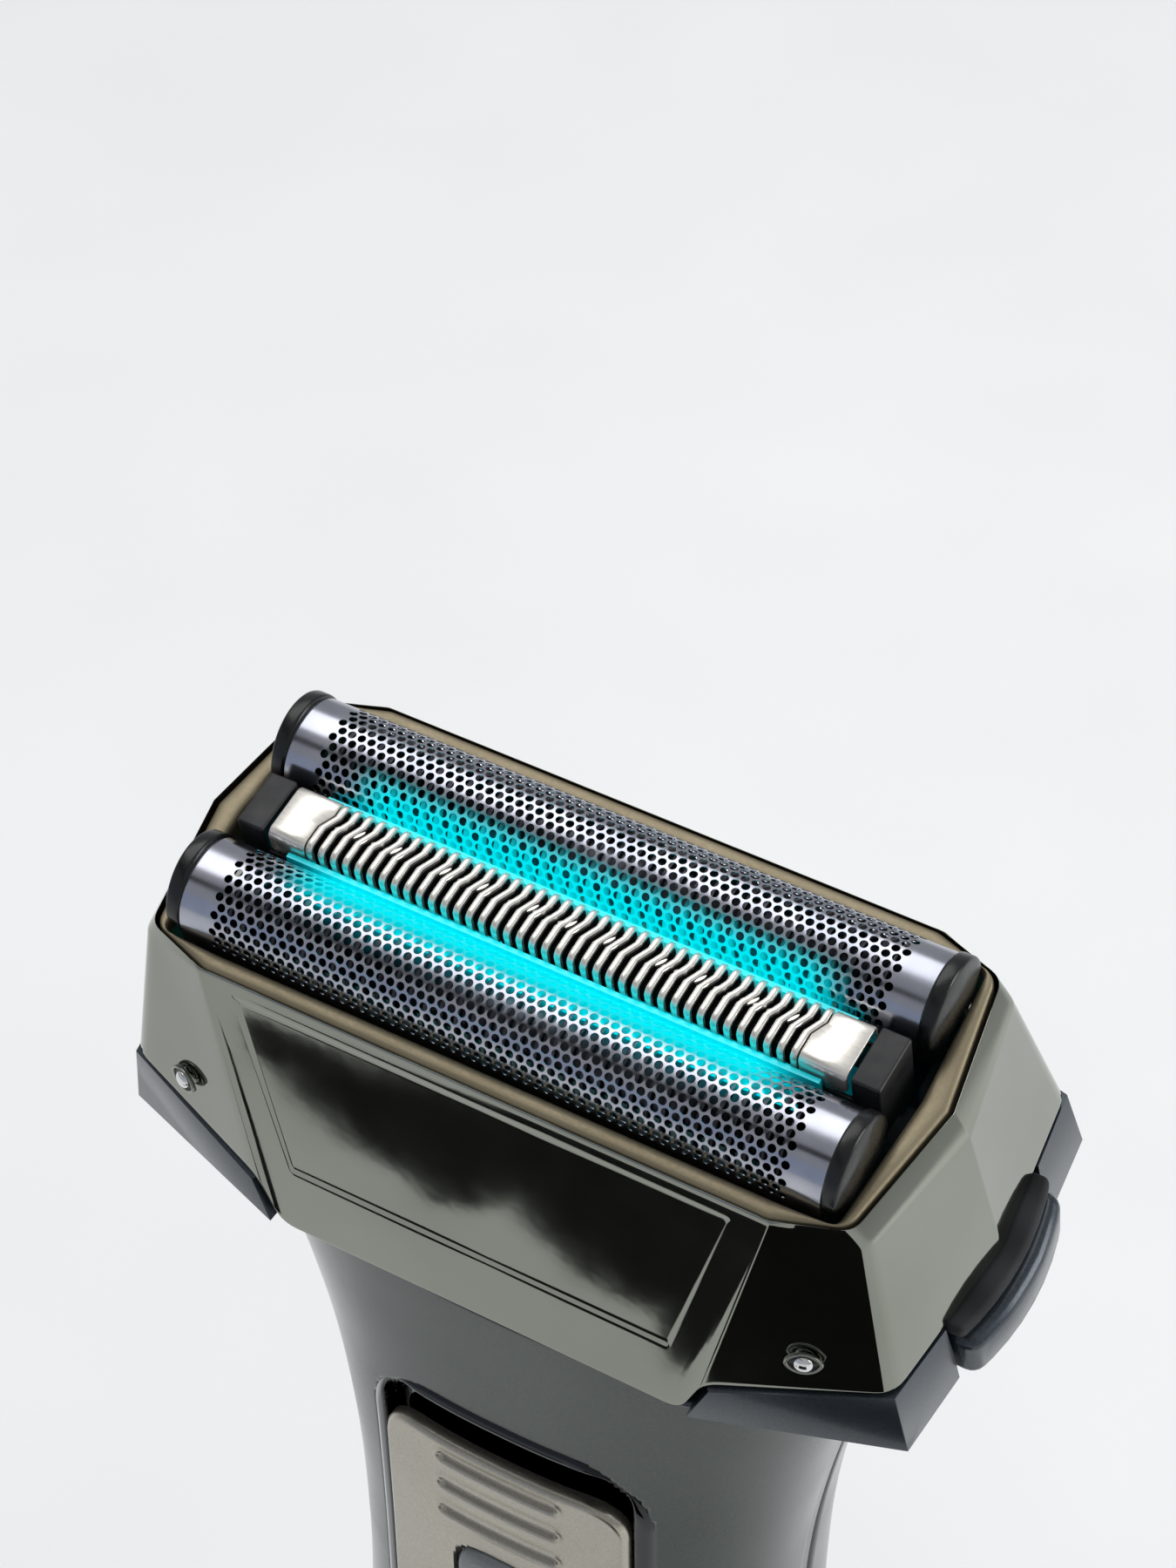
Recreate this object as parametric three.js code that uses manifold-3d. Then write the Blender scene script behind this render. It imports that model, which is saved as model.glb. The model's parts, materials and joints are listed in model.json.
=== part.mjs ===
// Electric foil shaver, stood upright on its flat base.
// Units are millimetres. +Z runs up the handle, -Y is the switch side and the origin
// is the middle of the base face. The head is modelled in its own frame, with X along
// the foils and z = 0 at the top ridge of its housing, and then leans towards -Y.
import * as THREE from "three";
import { mergeVertices } from "three/addons/utils/BufferGeometryUtils.js";
import Module from "manifold-3d";

const wasm = await Module();
wasm.setup();

// ---- Driving dimensions ---------------------------------------------------------

const GAP = 0.3; // clearance between pieces that touch on the real shaver
const SLIP = 0.12; // clearance beside the thin light guides
const WALL = 1.8; // handle shell
const RING_POINTS = 40;

// Head placement
const HEAD_LEAN = THREE.MathUtils.degToRad(12);
const NECK_Z = 136; // where the head's axis meets the handle's axis
const NECK_IN_HEAD = -18.1; // the same point in the head frame

// Foils and their end caps
const FOIL_Y = 6.0;
const FOIL_AXIS_Z = 0.36;
const FOIL_R = 3.36;
const FOIL_HALF = 22.2;
const FOIL_WALL = 0.3;
const FOIL_DEPTH = 6.9; // from the arch axis down to the foil's lower edge
const CAP_THICK = 0.75;
const CAP_PROUD = 0.42;
const CAP_SIDE = -0.5; // the cap's flanks against the foil's
const FOIL_SIDE = FOIL_Y + FOIL_R; // the foils' outer flanks, which the head closes round

// Light guides between the foils and the trimmer
const GUIDE_THICK = 0.34;
const GUIDE_HALF = FOIL_HALF - 3.6;
const GUIDE_TOP = 1.5;

// Centre trimmer
const COMB_HALF = FOIL_HALF - 2.06;
const COMB_HALF_WIDTH = FOIL_Y - FOIL_R - GUIDE_THICK - 2 * SLIP;
const COMB_TOP = 2.62;
const COMB_WALL = 0.35;
const COMB_DROP = 2.0; // height of the folded sides
const BLOCK_LENGTH = 1.96;
const DRIVE_STROKE = 1.0;

// Top ring and housing, as quarter outlines from front middle to right middle
const RING_INNER_X = FOIL_HALF + 1.7;
const RING_INNER_CORNER_X = FOIL_HALF + 1.15;
const RING_INNER_Y = FOIL_SIDE + 0.34;
const RING_INNER_RADIUS = 1.5;
const LIP_THICK = 0.1; // housing metal left outside the ring at its top edge
const RING_DEPTH = 4.1;
const RING_GAP = 0.22; // the dark line round the ring
const HOUSING_WALL = 1.5;
const ROOF_WALL = 0.8; // housing wall beside the ring
const headPoint = (x, y, z) => [x === null ? 0 : FOIL_HALF + x, y === null ? 0 : -FOIL_SIDE - y, z];
const LIP = [headPoint(null, 1.74, 0), headPoint(-2.7, 1.74, 0), headPoint(-2.5, 1.74, 0),
  headPoint(2.25, 0.24, 0), headPoint(3.85, null, 0)];
const RIDGE = [headPoint(null, 1.84, -0.25), headPoint(-2.6, 1.84, -0.25),
  headPoint(-2.3, 1.84, -0.25), headPoint(3.1, 0.14, -1.6), headPoint(4.8, null, -2)];
const SKIRT = [headPoint(null, 6.59, -19.85), headPoint(-7.56, 6.59, -19.85),
  headPoint(-5.96, 5.95, -16.25), headPoint(5.37, 2.36, -13.78), headPoint(6.7, null, -13.8)];
const DOME_PIN = { x: FOIL_HALF + 0.24, y: FOIL_SIDE + 4.04, z: -11.78, radius: 0.75,
  length: 1.1, seat: 1.35, sunk: 0.9 };

// Head base (the band below the housing) and its release buttons
const BASE_LOW = [headPoint(null, 3.44, -19.6), headPoint(-7.25, 3.44, -19.6),
  headPoint(-6.9, 6.89, -19.6), headPoint(6.26, 2.82, -19.6), headPoint(7.4, null, -19.6)];
const BASE_HIGH = [headPoint(null, 3.44, -16.6), headPoint(-5.7, 3.44, -16.6),
  headPoint(-5.5, 6.04, -16.6), headPoint(5.4, 2.39, -14.15), headPoint(6.8, null, -14.15)];
const COLLAR = { halfX: FOIL_HALF + 2.4, halfY: FOIL_SIDE + 1.24, radius: 4, top: -13 };
const BUTTON = { halfY: 6.0, inner: FOIL_HALF + 4.7, outer: FOIL_HALF + 8.8,
  low: -19.5, split: -15.6, top: -14.15 };
const BUTTON_TRAVEL = 1.5;
const BUTTON_WELL = BUTTON.inner - BUTTON_TRAVEL - 0.2; // x of the wall behind a button
const BUTTON_SPRING = { radius: 1.6, wire: 0.3, length: 5.0, turns: 4 };

// Drive under the foils
const BLADE_HALF = FOIL_HALF - 2.8;
const BLADE_GAP = 0.3; // between foil and inner blade
const BLADE_R = FOIL_R - FOIL_WALL - BLADE_GAP;
const BLADE_WALL = 0.8;
const HOLDER = { half: FOIL_HALF - 6.2, halfY: FOIL_R - 1.26, low: -6 };
const YOKE = { half: FOIL_HALF - 8.2, halfY: FOIL_Y + HOLDER.halfY, low: -12.6, high: -11.0 };
const YOKE_PIN_R = 0.8;
const SHAFT_R = 1.6;
const SHAFT_BOTTOM = -40;
const FRAME_LOW = -10.0;
const FRAME_HIGH = -9.1;
const BLADE_SPRING = { radius: 1.5, wire: 0.28, turns: 4 };

// Handle: [height, half width, half depth, share of the head's lean]
const FOOT = [16.2, 12.2];
const GRIP_HALF_DEPTH = 12.8;
const WAIST_HALF = 16.8;
const CAP_HEIGHT = 6;
const HANDLE = [[CAP_HEIGHT + GAP, ...FOOT, 0], [18, 16.9, 12.7, 0],
  [0.28 * NECK_Z, 17.5, GRIP_HALF_DEPTH + 0.1, 0], [0.425 * NECK_Z, 17.6, GRIP_HALF_DEPTH + 0.1, 0],
  [NECK_Z - 60, 17.2, GRIP_HALF_DEPTH, 0], [NECK_Z - 45, WAIST_HALF, GRIP_HALF_DEPTH, 0],
  [NECK_Z - 32, 17.5, GRIP_HALF_DEPTH, 0], [NECK_Z - 21, 19.3, GRIP_HALF_DEPTH + 0.1, 0.2],
  [NECK_Z - 12, 21.6, 13.5, 0.55]];
const HANDLE_POWER = 2.5; // superellipse power of the handle's sections
const NECK = { halfX: FOIL_HALF + 2.2, halfY: FOIL_SIDE + 5.04, z: -21.0 }; // rim, head frame
const SEAL = { halfX: NECK.halfX - 0.5, halfY: NECK.halfY - 0.7, low: -20.7, high: -19.9,
  wall: 2.4 };
const BASE_CAP = [[0, 14.6, 10.8], [1.2, 15.7, 11.7], [CAP_HEIGHT, ...FOOT]];

// Power switch on the front
const SWITCH = { half: 9.5, low: NECK_Z - 49, high: NECK_Z - 23.2, radius: 2.6, proud: 0.75,
  under: -0.35 };
const SWITCH_TRAVEL = 3.0;
const SURROUND = { half: SWITCH.half + 1.7, low: SWITCH.low - 2.5,
  high: SWITCH.high + SWITCH_TRAVEL + 1.4, radius: 6.5, proud: 0.3, under: -1.2 };
const LOCK = { half: 3.3, low: SWITCH.low + 5.4, high: SWITCH.high - 10.5, radius: 2.2,
  proud: 1.25 };
const GROOVES = { count: 3, first: SWITCH.high - 1.6, pitch: 2.95, half: 4.6, height: 0.8,
  depth: 0.5 };

// Flip-out trimmer on the back
const POPUP = { half: 10.4, low: NECK_Z - 54, high: NECK_Z - 15, radius: 4, proud: 3.4 };
const ARM = { half: 8.0, high: NECK_Z - 18, floor: 1.0, axleZ: NECK_Z - 40.8, axleOut: 2.35,
  eye: 1.15 };
const ARM_AXLE_R = 0.55;
const POPUP_STROKE = 0.6;
const POPUP_COMB = { half: ARM.half - 0.6, low: ARM.high - 4.5, high: ARM.high + 2.6,
  thick: 0.45, teeth: 13 };
const LATCH = { half: 3.6, low: POPUP.low + 3.2, high: POPUP.low + 7.4, travel: 1.8, proud: 4.3 };

// Inside the handle, and its inlet
const BOARD = { half: 8.0, back: WALL + 2.8 - GRIP_HALF_DEPTH, thick: 1.0, low: NECK_Z - 96,
  high: NECK_Z - 27 };
const MOTOR = { half: WAIST_HALF - WALL - 3, front: BOARD.back + 0.8,
  back: GRIP_HALF_DEPTH - WALL - 2.2, low: NECK_Z - 65, high: NECK_Z - 18.5, chamfer: 3 };
const MOTOR_WELL = { half: 3.6, front: 0.8, back: 7.9, depth: 9 };
const BRACKET = { half: MOTOR.half + 1.2, thick: 1.4 };
const BATTERY = { radius: 7.0, low: 17.5, high: MOTOR.low - 3, y: 1.6 };
const INLET = { half: 4.4, front: FOOT[1] - WALL - 5.9, back: FOOT[1] - WALL - 0.5, depth: 13 };
const SOCKET = { half: INLET.half + 1.8, front: INLET.front - 1.5, back: INLET.back + 1, high: 15 };
const INLET_PIN = { radius: 0.9, x: 2.1, tip: 5.1 };
const SCREW = { x: 10.2, y: -2.5, head: 1.9, headHeight: 1.5, recess: 0.7, shank: 0.8, length: 9 };

// ---- Materials --------------------------------------------------------------------

const finish = (color, roughness, metalness) =>
  new THREE.MeshStandardMaterial({ color, roughness, metalness });
const STEEL = finish(0xc9ccd4, 0.22, 1);
const GUNMETAL = finish(0x6e7068, 0.1, 1);
const CHAMPAGNE = finish(0xa89b80, 0.3, 1);
const BAND_BLUE = finish(0x3f464e, 0.35, 0.5);
const HANDLE_GREEN = finish(0x7b827d, 0.35, 0.7);
const SWITCH_SILVER = finish(0x9a958a, 0.3, 0.9);
const BLACK_GLOSS = finish(0x101214, 0.08, 0.4);
const BLACK_SATIN = finish(0x1c1f21, 0.5, 0);
const RUBBER = finish(0x141516, 0.8, 0);
const CHROME = finish(0xe6e6e6, 0.05, 1);
const LIGHT = new THREE.MeshStandardMaterial({ color: 0x00e5f0, emissive: 0x00e5f0 });
const NYLON = finish(0xd8d8d2, 0.5, 0);
const BOARD_GREEN = finish(0x1f5a3a, 0.6, 0);
const BRASS = finish(0xb8964e, 0.3, 1);
const WRAP_BLUE = finish(0x2c5f9e, 0.4, 0);

// ---- Solids -------------------------------------------------------------------------

function solidFrom(geometry) {
  const bare = geometry.clone();
  bare.deleteAttribute("normal");
  bare.deleteAttribute("uv");
  const merged = mergeVertices(bare, 1e-4);
  return new wasm.Manifold(new wasm.Mesh({
    numProp: 3,
    vertProperties: merged.attributes.position.array,
    triVerts: Uint32Array.from(merged.index.array),
  }));
}

function meshFrom(name, solid, material) {
  const { vertProperties, triVerts } = solid.getMesh();
  const geometry = new THREE.BufferGeometry();
  geometry.setAttribute("position", new THREE.BufferAttribute(vertProperties, 3));
  geometry.setIndex(new THREE.BufferAttribute(triVerts, 1));
  geometry.computeVertexNormals();
  const mesh = new THREE.Mesh(geometry, material);
  mesh.name = name;
  return mesh;
}

// A closed skin through rings of points that run counter-clockwise, seen from above,
// and rise from the first ring to the last. centres are the z of the two end fans.
function loft(rings, centres = [null, null]) {
  const count = rings[0].length;
  const points = rings.flat();
  const ends = [rings[0], rings[rings.length - 1]];
  ends.forEach((ring, end) => {
    const middle = ring.reduce((sum, p) => sum.add(p), new THREE.Vector3()).divideScalar(count);
    if (centres[end] !== null) middle.z = centres[end];
    points.push(middle);
  });
  const index = [];
  for (let level = 0; level + 1 < rings.length; level += 1) {
    for (let i = 0; i < count; i += 1) {
      const a = level * count + i;
      const b = level * count + ((i + 1) % count);
      index.push(a, b, b + count, a, b + count, a + count);
    }
  }
  const top = (rings.length - 1) * count;
  for (let i = 0; i < count; i += 1) {
    const next = (i + 1) % count;
    index.push(points.length - 2, next, i, points.length - 1, top + i, top + next);
  }
  const geometry = new THREE.BufferGeometry().setFromPoints(points);
  geometry.setIndex(index);
  return solidFrom(geometry);
}

function box(x0, x1, y0, y1, z0, z1) {
  const geometry = new THREE.BoxGeometry(x1 - x0, y1 - y0, z1 - z0);
  return solidFrom(geometry.translate((x0 + x1) / 2, (y0 + y1) / 2, (z0 + z1) / 2));
}

// A cylinder between two points.
function rod(start, end, radius, sides = 16) {
  const along = end.clone().sub(start);
  const geometry = new THREE.CylinderGeometry(radius, radius, along.length(), sides);
  const turn = new THREE.Quaternion().setFromUnitVectors(
    new THREE.Vector3(0, 1, 0), along.clone().normalize());
  geometry.applyQuaternion(turn);
  const middle = start.clone().add(end).divideScalar(2);
  return solidFrom(geometry.translate(middle.x, middle.y, middle.z));
}

const AXES = {
  XY: new THREE.Matrix4(),
  YZ: new THREE.Matrix4().makeBasis(
    new THREE.Vector3(0, 1, 0), new THREE.Vector3(0, 0, 1), new THREE.Vector3(1, 0, 0)),
  XZ: new THREE.Matrix4().makeBasis(
    new THREE.Vector3(1, 0, 0), new THREE.Vector3(0, 0, 1), new THREE.Vector3(0, -1, 0)),
};

// An outline drawn in one plane, carried from one level to another along the third axis.
function prism(shape, plane, from, to) {
  const options = { depth: Math.abs(to - from), bevelEnabled: false, curveSegments: 6 };
  const geometry = new THREE.ExtrudeGeometry(shape, options).applyMatrix4(AXES[plane]);
  const low = Math.min(from, to);
  if (plane === "XY") geometry.translate(0, 0, low);
  if (plane === "YZ") geometry.translate(low, 0, 0);
  if (plane === "XZ") geometry.translate(0, Math.max(from, to), 0);
  return solidFrom(geometry);
}

function roundedOutline(half, low, high, topRadius, bottomRadius = topRadius) {
  const shape = new THREE.Shape();
  shape.moveTo(half, low + bottomRadius);
  shape.lineTo(half, high - topRadius);
  shape.absarc(half - topRadius, high - topRadius, topRadius, 0, Math.PI / 2);
  shape.lineTo(topRadius - half, high);
  shape.absarc(topRadius - half, high - topRadius, topRadius, Math.PI / 2, Math.PI);
  shape.lineTo(-half, low + bottomRadius);
  shape.absarc(bottomRadius - half, low + bottomRadius, bottomRadius, Math.PI, 1.5 * Math.PI);
  shape.lineTo(half - bottomRadius, low);
  shape.absarc(half - bottomRadius, low + bottomRadius, bottomRadius, 1.5 * Math.PI, 2 * Math.PI);
  return shape;
}

// The corners of one quarter, front middle to right middle, repeated round the ring.
function fourWays(quarter) {
  const last = quarter.length - 1;
  const place = ([x, y, z], sx, sy) => new THREE.Vector3(sx * x, sy * y, z);
  const inner = quarter.slice(1, last);
  return [
    ...quarter.map((p) => place(p, 1, 1)),
    ...inner.slice().reverse().map((p) => place(p, 1, -1)),
    place(quarter[0], 1, -1),
    ...inner.map((p) => place(p, -1, -1)),
    place(quarter[last], -1, -1),
    ...inner.slice().reverse().map((p) => place(p, -1, 1)),
  ];
}

// A quarter drawn in by a wall, on a level of its own if one is given.
function inset(quarter, wall, level = null) {
  const reachX = Math.max(...quarter.map((p) => p[0]));
  const reachY = Math.max(...quarter.map((p) => -p[1]));
  return quarter.map(([x, y, z]) => [
    (x * (reachX - wall)) / reachX,
    (y * (reachY - wall)) / reachY,
    level === null ? z : level,
  ]);
}

// The quarter where the straight lines from one quarter to another pass a level.
function between(low, high, level) {
  return low.map((p, i) => {
    const share = (level - p[2]) / (high[i][2] - p[2]);
    return p.map((value, axis) => value + share * (high[i][axis] - value));
  });
}

function superellipse(halfX, halfY, z, lean = 0, power = HANDLE_POWER) {
  const points = [];
  for (let i = 0; i < RING_POINTS; i += 1) {
    const angle = (2 * Math.PI * i) / RING_POINTS;
    const [c, s] = [Math.cos(angle), Math.sin(angle)];
    const x = halfX * Math.sign(c) * Math.abs(c) ** (2 / power);
    const y = halfY * Math.sign(s) * Math.abs(s) ** (2 / power);
    points.push(new THREE.Vector3(x, y * Math.cos(lean), z + y * Math.sin(lean)));
  }
  return points;
}

// A helical spring from one height to another about a vertical line.
function coil(x, y, low, high, { radius, wire, turns }) {
  const steps = 10 * turns;
  const points = [];
  for (let i = 0; i <= steps; i += 1) {
    const angle = (2 * Math.PI * i) / 10;
    const z = low + wire + ((high - low - 2 * wire) * i) / steps;
    points.push(new THREE.Vector3(x + radius * Math.cos(angle), y + radius * Math.sin(angle), z));
  }
  const section = new THREE.Shape();
  section.absarc(0, 0, wire, 0, 2 * Math.PI);
  const path = new THREE.CatmullRomCurve3(points);
  const options = { steps: steps + 10, extrudePath: path, bevelEnabled: false, curveSegments: 3 };
  return solidFrom(new THREE.ExtrudeGeometry(section, options));
}

const group = new THREE.Group();
const head = new THREE.Group();
const headFrame = new THREE.Group();
head.position.z = NECK_Z;
head.rotation.x = HEAD_LEAN;
headFrame.position.z = -NECK_IN_HEAD;
head.add(headFrame);
group.add(head);

const inHead = (name, solid, material) => headFrame.add(meshFrom(name, solid, material));
const inHandle = (name, solid, material) => group.add(meshFrom(name, solid, material));
const SIDES = [["left", -1], ["right", 1]];
const ROWS = [["front", -1], ["rear", 1]];

// ---- Handle ---------------------------------------------------------------------------

// The height on the handle's axis of a level plane of the head frame.
const neckHeight = (z) => NECK_Z + (z - NECK_IN_HEAD) / Math.cos(HEAD_LEAN);

// The handle's outer form, grown by an offset. extra lengthens it past its two ends.
function handleForm(offset, extra = 0) {
  const rings = HANDLE.map(([z, x, y, lean]) =>
    superellipse(x + offset, y + offset, z, lean * HEAD_LEAN));
  const top = superellipse(NECK.halfX + offset, NECK.halfY + offset,
    neckHeight(NECK.z) + extra, HEAD_LEAN);
  const [first] = HANDLE;
  if (extra) rings.unshift(superellipse(first[1] + offset, first[2] + offset, first[0] - extra));
  return loft([...rings, top]);
}

// A panel that follows the handle's skin: an outline seen from the front or the back,
// between two offsets from the skin.
function panel(outline, side, under, proud) {
  const reach = 40;
  return prism(outline, "XZ", 0, side * reach)
    .intersect(handleForm(proud, 2)).subtract(handleForm(under, 4));
}

function surroundOutline(grow) {
  const { half, low, high, radius } = SURROUND;
  return roundedOutline(half + grow, low - grow, high + grow, radius + grow, 3 + grow);
}

function switchOutline(grow, rise = 0) {
  const { half, low, high, radius } = SWITCH;
  return roundedOutline(half + grow, low - grow, high + grow + rise, radius + grow);
}

function lockOutline(grow, rise = 0) {
  const { half, low, high, radius } = LOCK;
  return roundedOutline(half + grow, low - grow, high + grow + rise, radius + grow);
}

function bodyShells() {
  const hollow = handleForm(-WALL, 1.5);
  const shell = handleForm(0).subtract(hollow)
    .subtract(panel(surroundOutline(GAP), -1, SURROUND.under - GAP, 3))
    .subtract(prism(lockOutline(1.5, SWITCH_TRAVEL), "XZ", 0, -30));
  const seam = GAP / 2;
  inHandle("body_front_shell", shell.subtract(box(-40, 40, -seam, 40, -5, 170)), HANDLE_GREEN);
  inHandle("body_rear_shell", shell.subtract(box(-40, 40, -40, seam, -5, 170)), HANDLE_GREEN);
}

function baseCap() {
  const screwTop = SCREW.recess + SCREW.headHeight;
  let cap = loft(BASE_CAP.map(([z, x, y]) => superellipse(x, y, z)));
  cap = cap.subtract(box(-INLET.half, INLET.half, INLET.front, INLET.back, -1, 7));
  for (const [name, side] of SIDES) {
    const at = (z) => new THREE.Vector3(side * SCREW.x, SCREW.y, z);
    const seat = rod(at(-1), at(screwTop + GAP), SCREW.head + GAP);
    const hole = rod(at(0), at(7), SCREW.shank + GAP, 10);
    cap = cap.subtract(seat).subtract(hole);
    const screw = rod(at(SCREW.recess), at(screwTop), SCREW.head)
      .add(rod(at(screwTop - 0.5), at(SCREW.length), SCREW.shank, 10))
      .subtract(box(side * SCREW.x - 1.3, side * SCREW.x + 1.3, SCREW.y - 0.25, SCREW.y + 0.25,
        0, SCREW.recess + 0.7));
    inHandle(`case_screw_${name}`, screw, CHROME);
  }
  inHandle("base_cap", cap, BAND_BLUE);
}

function inlet() {
  const foot = CAP_HEIGHT + GAP;
  const socket = box(-SOCKET.half, SOCKET.half, SOCKET.front, SOCKET.back, foot, SOCKET.high)
    .intersect(handleForm(-WALL - GAP, 1.5))
    .subtract(box(-INLET.half, INLET.half, INLET.front, INLET.back, 0, INLET.depth));
  inHandle("inlet_socket", socket, BLACK_SATIN);
  const y = (INLET.front + INLET.back) / 2;
  for (const [name, side] of SIDES) {
    const at = (z) => new THREE.Vector3(side * INLET_PIN.x, y, z);
    const pin = rod(at(INLET_PIN.tip), at(INLET.depth - GAP), INLET_PIN.radius, 12);
    inHandle(`inlet_pin_${name}`, pin, BRASS);
  }
}

function insides() {
  const cell = (z) => new THREE.Vector3(0, BATTERY.y, z);
  const can = rod(cell(BATTERY.low), cell(BATTERY.high), BATTERY.radius, 24)
    .add(rod(cell(BATTERY.high - 1), cell(BATTERY.high + 1), 2.6, 12));
  inHandle("battery_cell", can, WRAP_BLUE);
  const board = box(-BOARD.half, BOARD.half, BOARD.back - BOARD.thick, BOARD.back,
    BOARD.low, BOARD.high)
    .add(box(-2, 2, BOARD.back - 2, BOARD.back - 0.5, LOCK.low + 2, LOCK.low + 6));
  inHandle("circuit_board", board, BOARD_GREEN);
  const outline = new THREE.Shape();
  const { half, front, back, chamfer } = MOTOR;
  outline.moveTo(half, front).lineTo(half, back - chamfer).lineTo(half - chamfer, back);
  outline.lineTo(chamfer - half, back).lineTo(-half, back - chamfer).lineTo(-half, front);
  const well = (low, high) => box(-MOTOR_WELL.half, MOTOR_WELL.half,
    MOTOR_WELL.front, MOTOR_WELL.back, low, high);
  const motor = prism(outline, "XY", MOTOR.low, MOTOR.high)
    .subtract(well(MOTOR.high - MOTOR_WELL.depth, MOTOR.high + 1));
  inHandle("motor_case", motor, STEEL);
  const low = MOTOR.high + GAP;
  const bracket = box(-BRACKET.half, BRACKET.half, front, back, low, low + BRACKET.thick)
    .subtract(well(low - 1, low + 5));
  inHandle("motor_bracket", bracket, NYLON);
}

function powerSwitch() {
  const track = switchOutline(GAP, SWITCH_TRAVEL);
  const surround = panel(surroundOutline(0), -1, SURROUND.under, SURROUND.proud)
    .subtract(panel(track, -1, SWITCH.under - GAP, 3))
    .subtract(prism(lockOutline(GAP, SWITCH_TRAVEL), "XZ", 0, -30));
  inHandle("switch_surround", surround, BLACK_GLOSS);
  let plate = panel(switchOutline(0), -1, SWITCH.under, SWITCH.proud)
    .subtract(prism(lockOutline(GAP), "XZ", 0, -30));
  for (let i = 0; i < GROOVES.count; i += 1) {
    const z = GROOVES.first - i * GROOVES.pitch - GROOVES.height / 2;
    const groove = roundedOutline(GROOVES.half, z, z + GROOVES.height, GROOVES.height / 2.1);
    plate = plate.subtract(panel(groove, -1, SWITCH.proud - GROOVES.depth, 3));
  }
  inHandle("switch_plate", plate, SWITCH_SILVER);
  inHandle("lock_button", panel(lockOutline(0), -1, SWITCH.under, LOCK.proud), BLACK_SATIN);
}

const popupAxle = (x) => new THREE.Vector3(x, GRIP_HALF_DEPTH + ARM.axleOut, ARM.axleZ);

function popupArm() {
  const outline = roundedOutline(ARM.half, ARM.axleZ, ARM.high, 0.8);
  const plate = panel(outline, 1, ARM.floor, POPUP.proud)
    .subtract(box(-POPUP_COMB.half - GAP, POPUP_COMB.half + GAP, 10, 30,
      POPUP_COMB.low - GAP, ARM.high + 1)
      .intersect(handleForm(POPUP.proud + 1, 1).subtract(handleForm(ARM.floor + 0.5, 2))));
  const eye = rod(popupAxle(-ARM.half), popupAxle(ARM.half), ARM.eye, 14);
  const bore = rod(popupAxle(-ARM.half - 1), popupAxle(ARM.half + 1), ARM_AXLE_R + 0.15, 12);
  inHandle("popup_arm", plate.add(eye).subtract(bore), BLACK_SATIN);
  const pin = rod(popupAxle(-ARM.half - 1.4), popupAxle(ARM.half + 1.4), ARM_AXLE_R, 12);
  inHandle("popup_axle", pin, CHROME);
}

// A toothed plate standing on the arm: the comb outside, the cutter under it.
function toothedPlate(half, yBack, thick, top) {
  const pitch = (2 * half) / POPUP_COMB.teeth;
  let plate = box(-half, half, yBack - thick, yBack, POPUP_COMB.low, top);
  for (let i = 0; i < POPUP_COMB.teeth; i += 1) {
    const x = -half + pitch * (i + 0.5);
    plate = plate.subtract(box(x - pitch * 0.22, x + pitch * 0.22, yBack - 3, yBack + 1,
      top - 1.8, top + 1));
  }
  return plate;
}

function popupTrimmer() {
  const pocket = roundedOutline(ARM.half + GAP, ARM.axleZ - ARM.eye - 0.5, POPUP.high + 5, 0.8);
  const latchSlot = roundedOutline(LATCH.half + GAP, LATCH.low - LATCH.travel - GAP,
    LATCH.high + GAP, 0.8);
  const outline = roundedOutline(POPUP.half, POPUP.low, POPUP.high, POPUP.radius);
  const housing = panel(outline, 1, GAP, POPUP.proud)
    .subtract(panel(pocket, 1, ARM.floor - GAP, 9))
    .subtract(panel(latchSlot, 1, ARM.floor - GAP, 9))
    .subtract(rod(popupAxle(-ARM.half - 1.6), popupAxle(ARM.half + 1.6), ARM_AXLE_R + 0.12, 12));
  inHandle("popup_housing", housing, HANDLE_GREEN);
  popupArm();
  const y = GRIP_HALF_DEPTH + POPUP.proud;
  inHandle("popup_comb",
    toothedPlate(POPUP_COMB.half, y, POPUP_COMB.thick, POPUP_COMB.high), STEEL);
  inHandle("popup_cutter", toothedPlate(POPUP_COMB.half - POPUP_STROKE,
    y - POPUP_COMB.thick - 0.15, POPUP_COMB.thick, POPUP_COMB.high - 0.5), STEEL);
  const latch = roundedOutline(LATCH.half, LATCH.low, LATCH.high, 0.8);
  inHandle("popup_latch", panel(latch, 1, ARM.floor, LATCH.proud), BLACK_SATIN);
}

// ---- Head -------------------------------------------------------------------------------

function ringOutline(halfX, cornerX, halfY, radius) {
  const shape = new THREE.Shape();
  const corner = (sx, sy, flip) => {
    const arc = Math.atan2(sy, sx);
    const centre = [sx * (cornerX - radius), sy * (halfY - radius)];
    shape.absarc(...centre, radius, arc - Math.PI / 4 - flip, arc + Math.PI / 4 + flip);
  };
  shape.moveTo(halfX, 0);
  corner(1, 1, 0);
  corner(-1, 1, 0);
  shape.lineTo(-halfX, 0);
  corner(-1, -1, 0);
  corner(1, -1, 0);
  shape.closePath();
  return shape;
}

function flatOutline(quarter) {
  return new THREE.Shape(fourWays(quarter).map((p) => new THREE.Vector2(p.x, p.y)));
}

const domeNormal = new THREE.Vector3(0.331, -0.93, 0.164).normalize();

// A point on a dome pin's axis, so far out from the housing's face, in one quarter.
function domePoint(sx, sy, out) {
  const point = new THREE.Vector3(DOME_PIN.x, -DOME_PIN.y, DOME_PIN.z)
    .addScaledVector(domeNormal, out);
  return new THREE.Vector3(sx * point.x, -sy * point.y, point.z);
}

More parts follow.
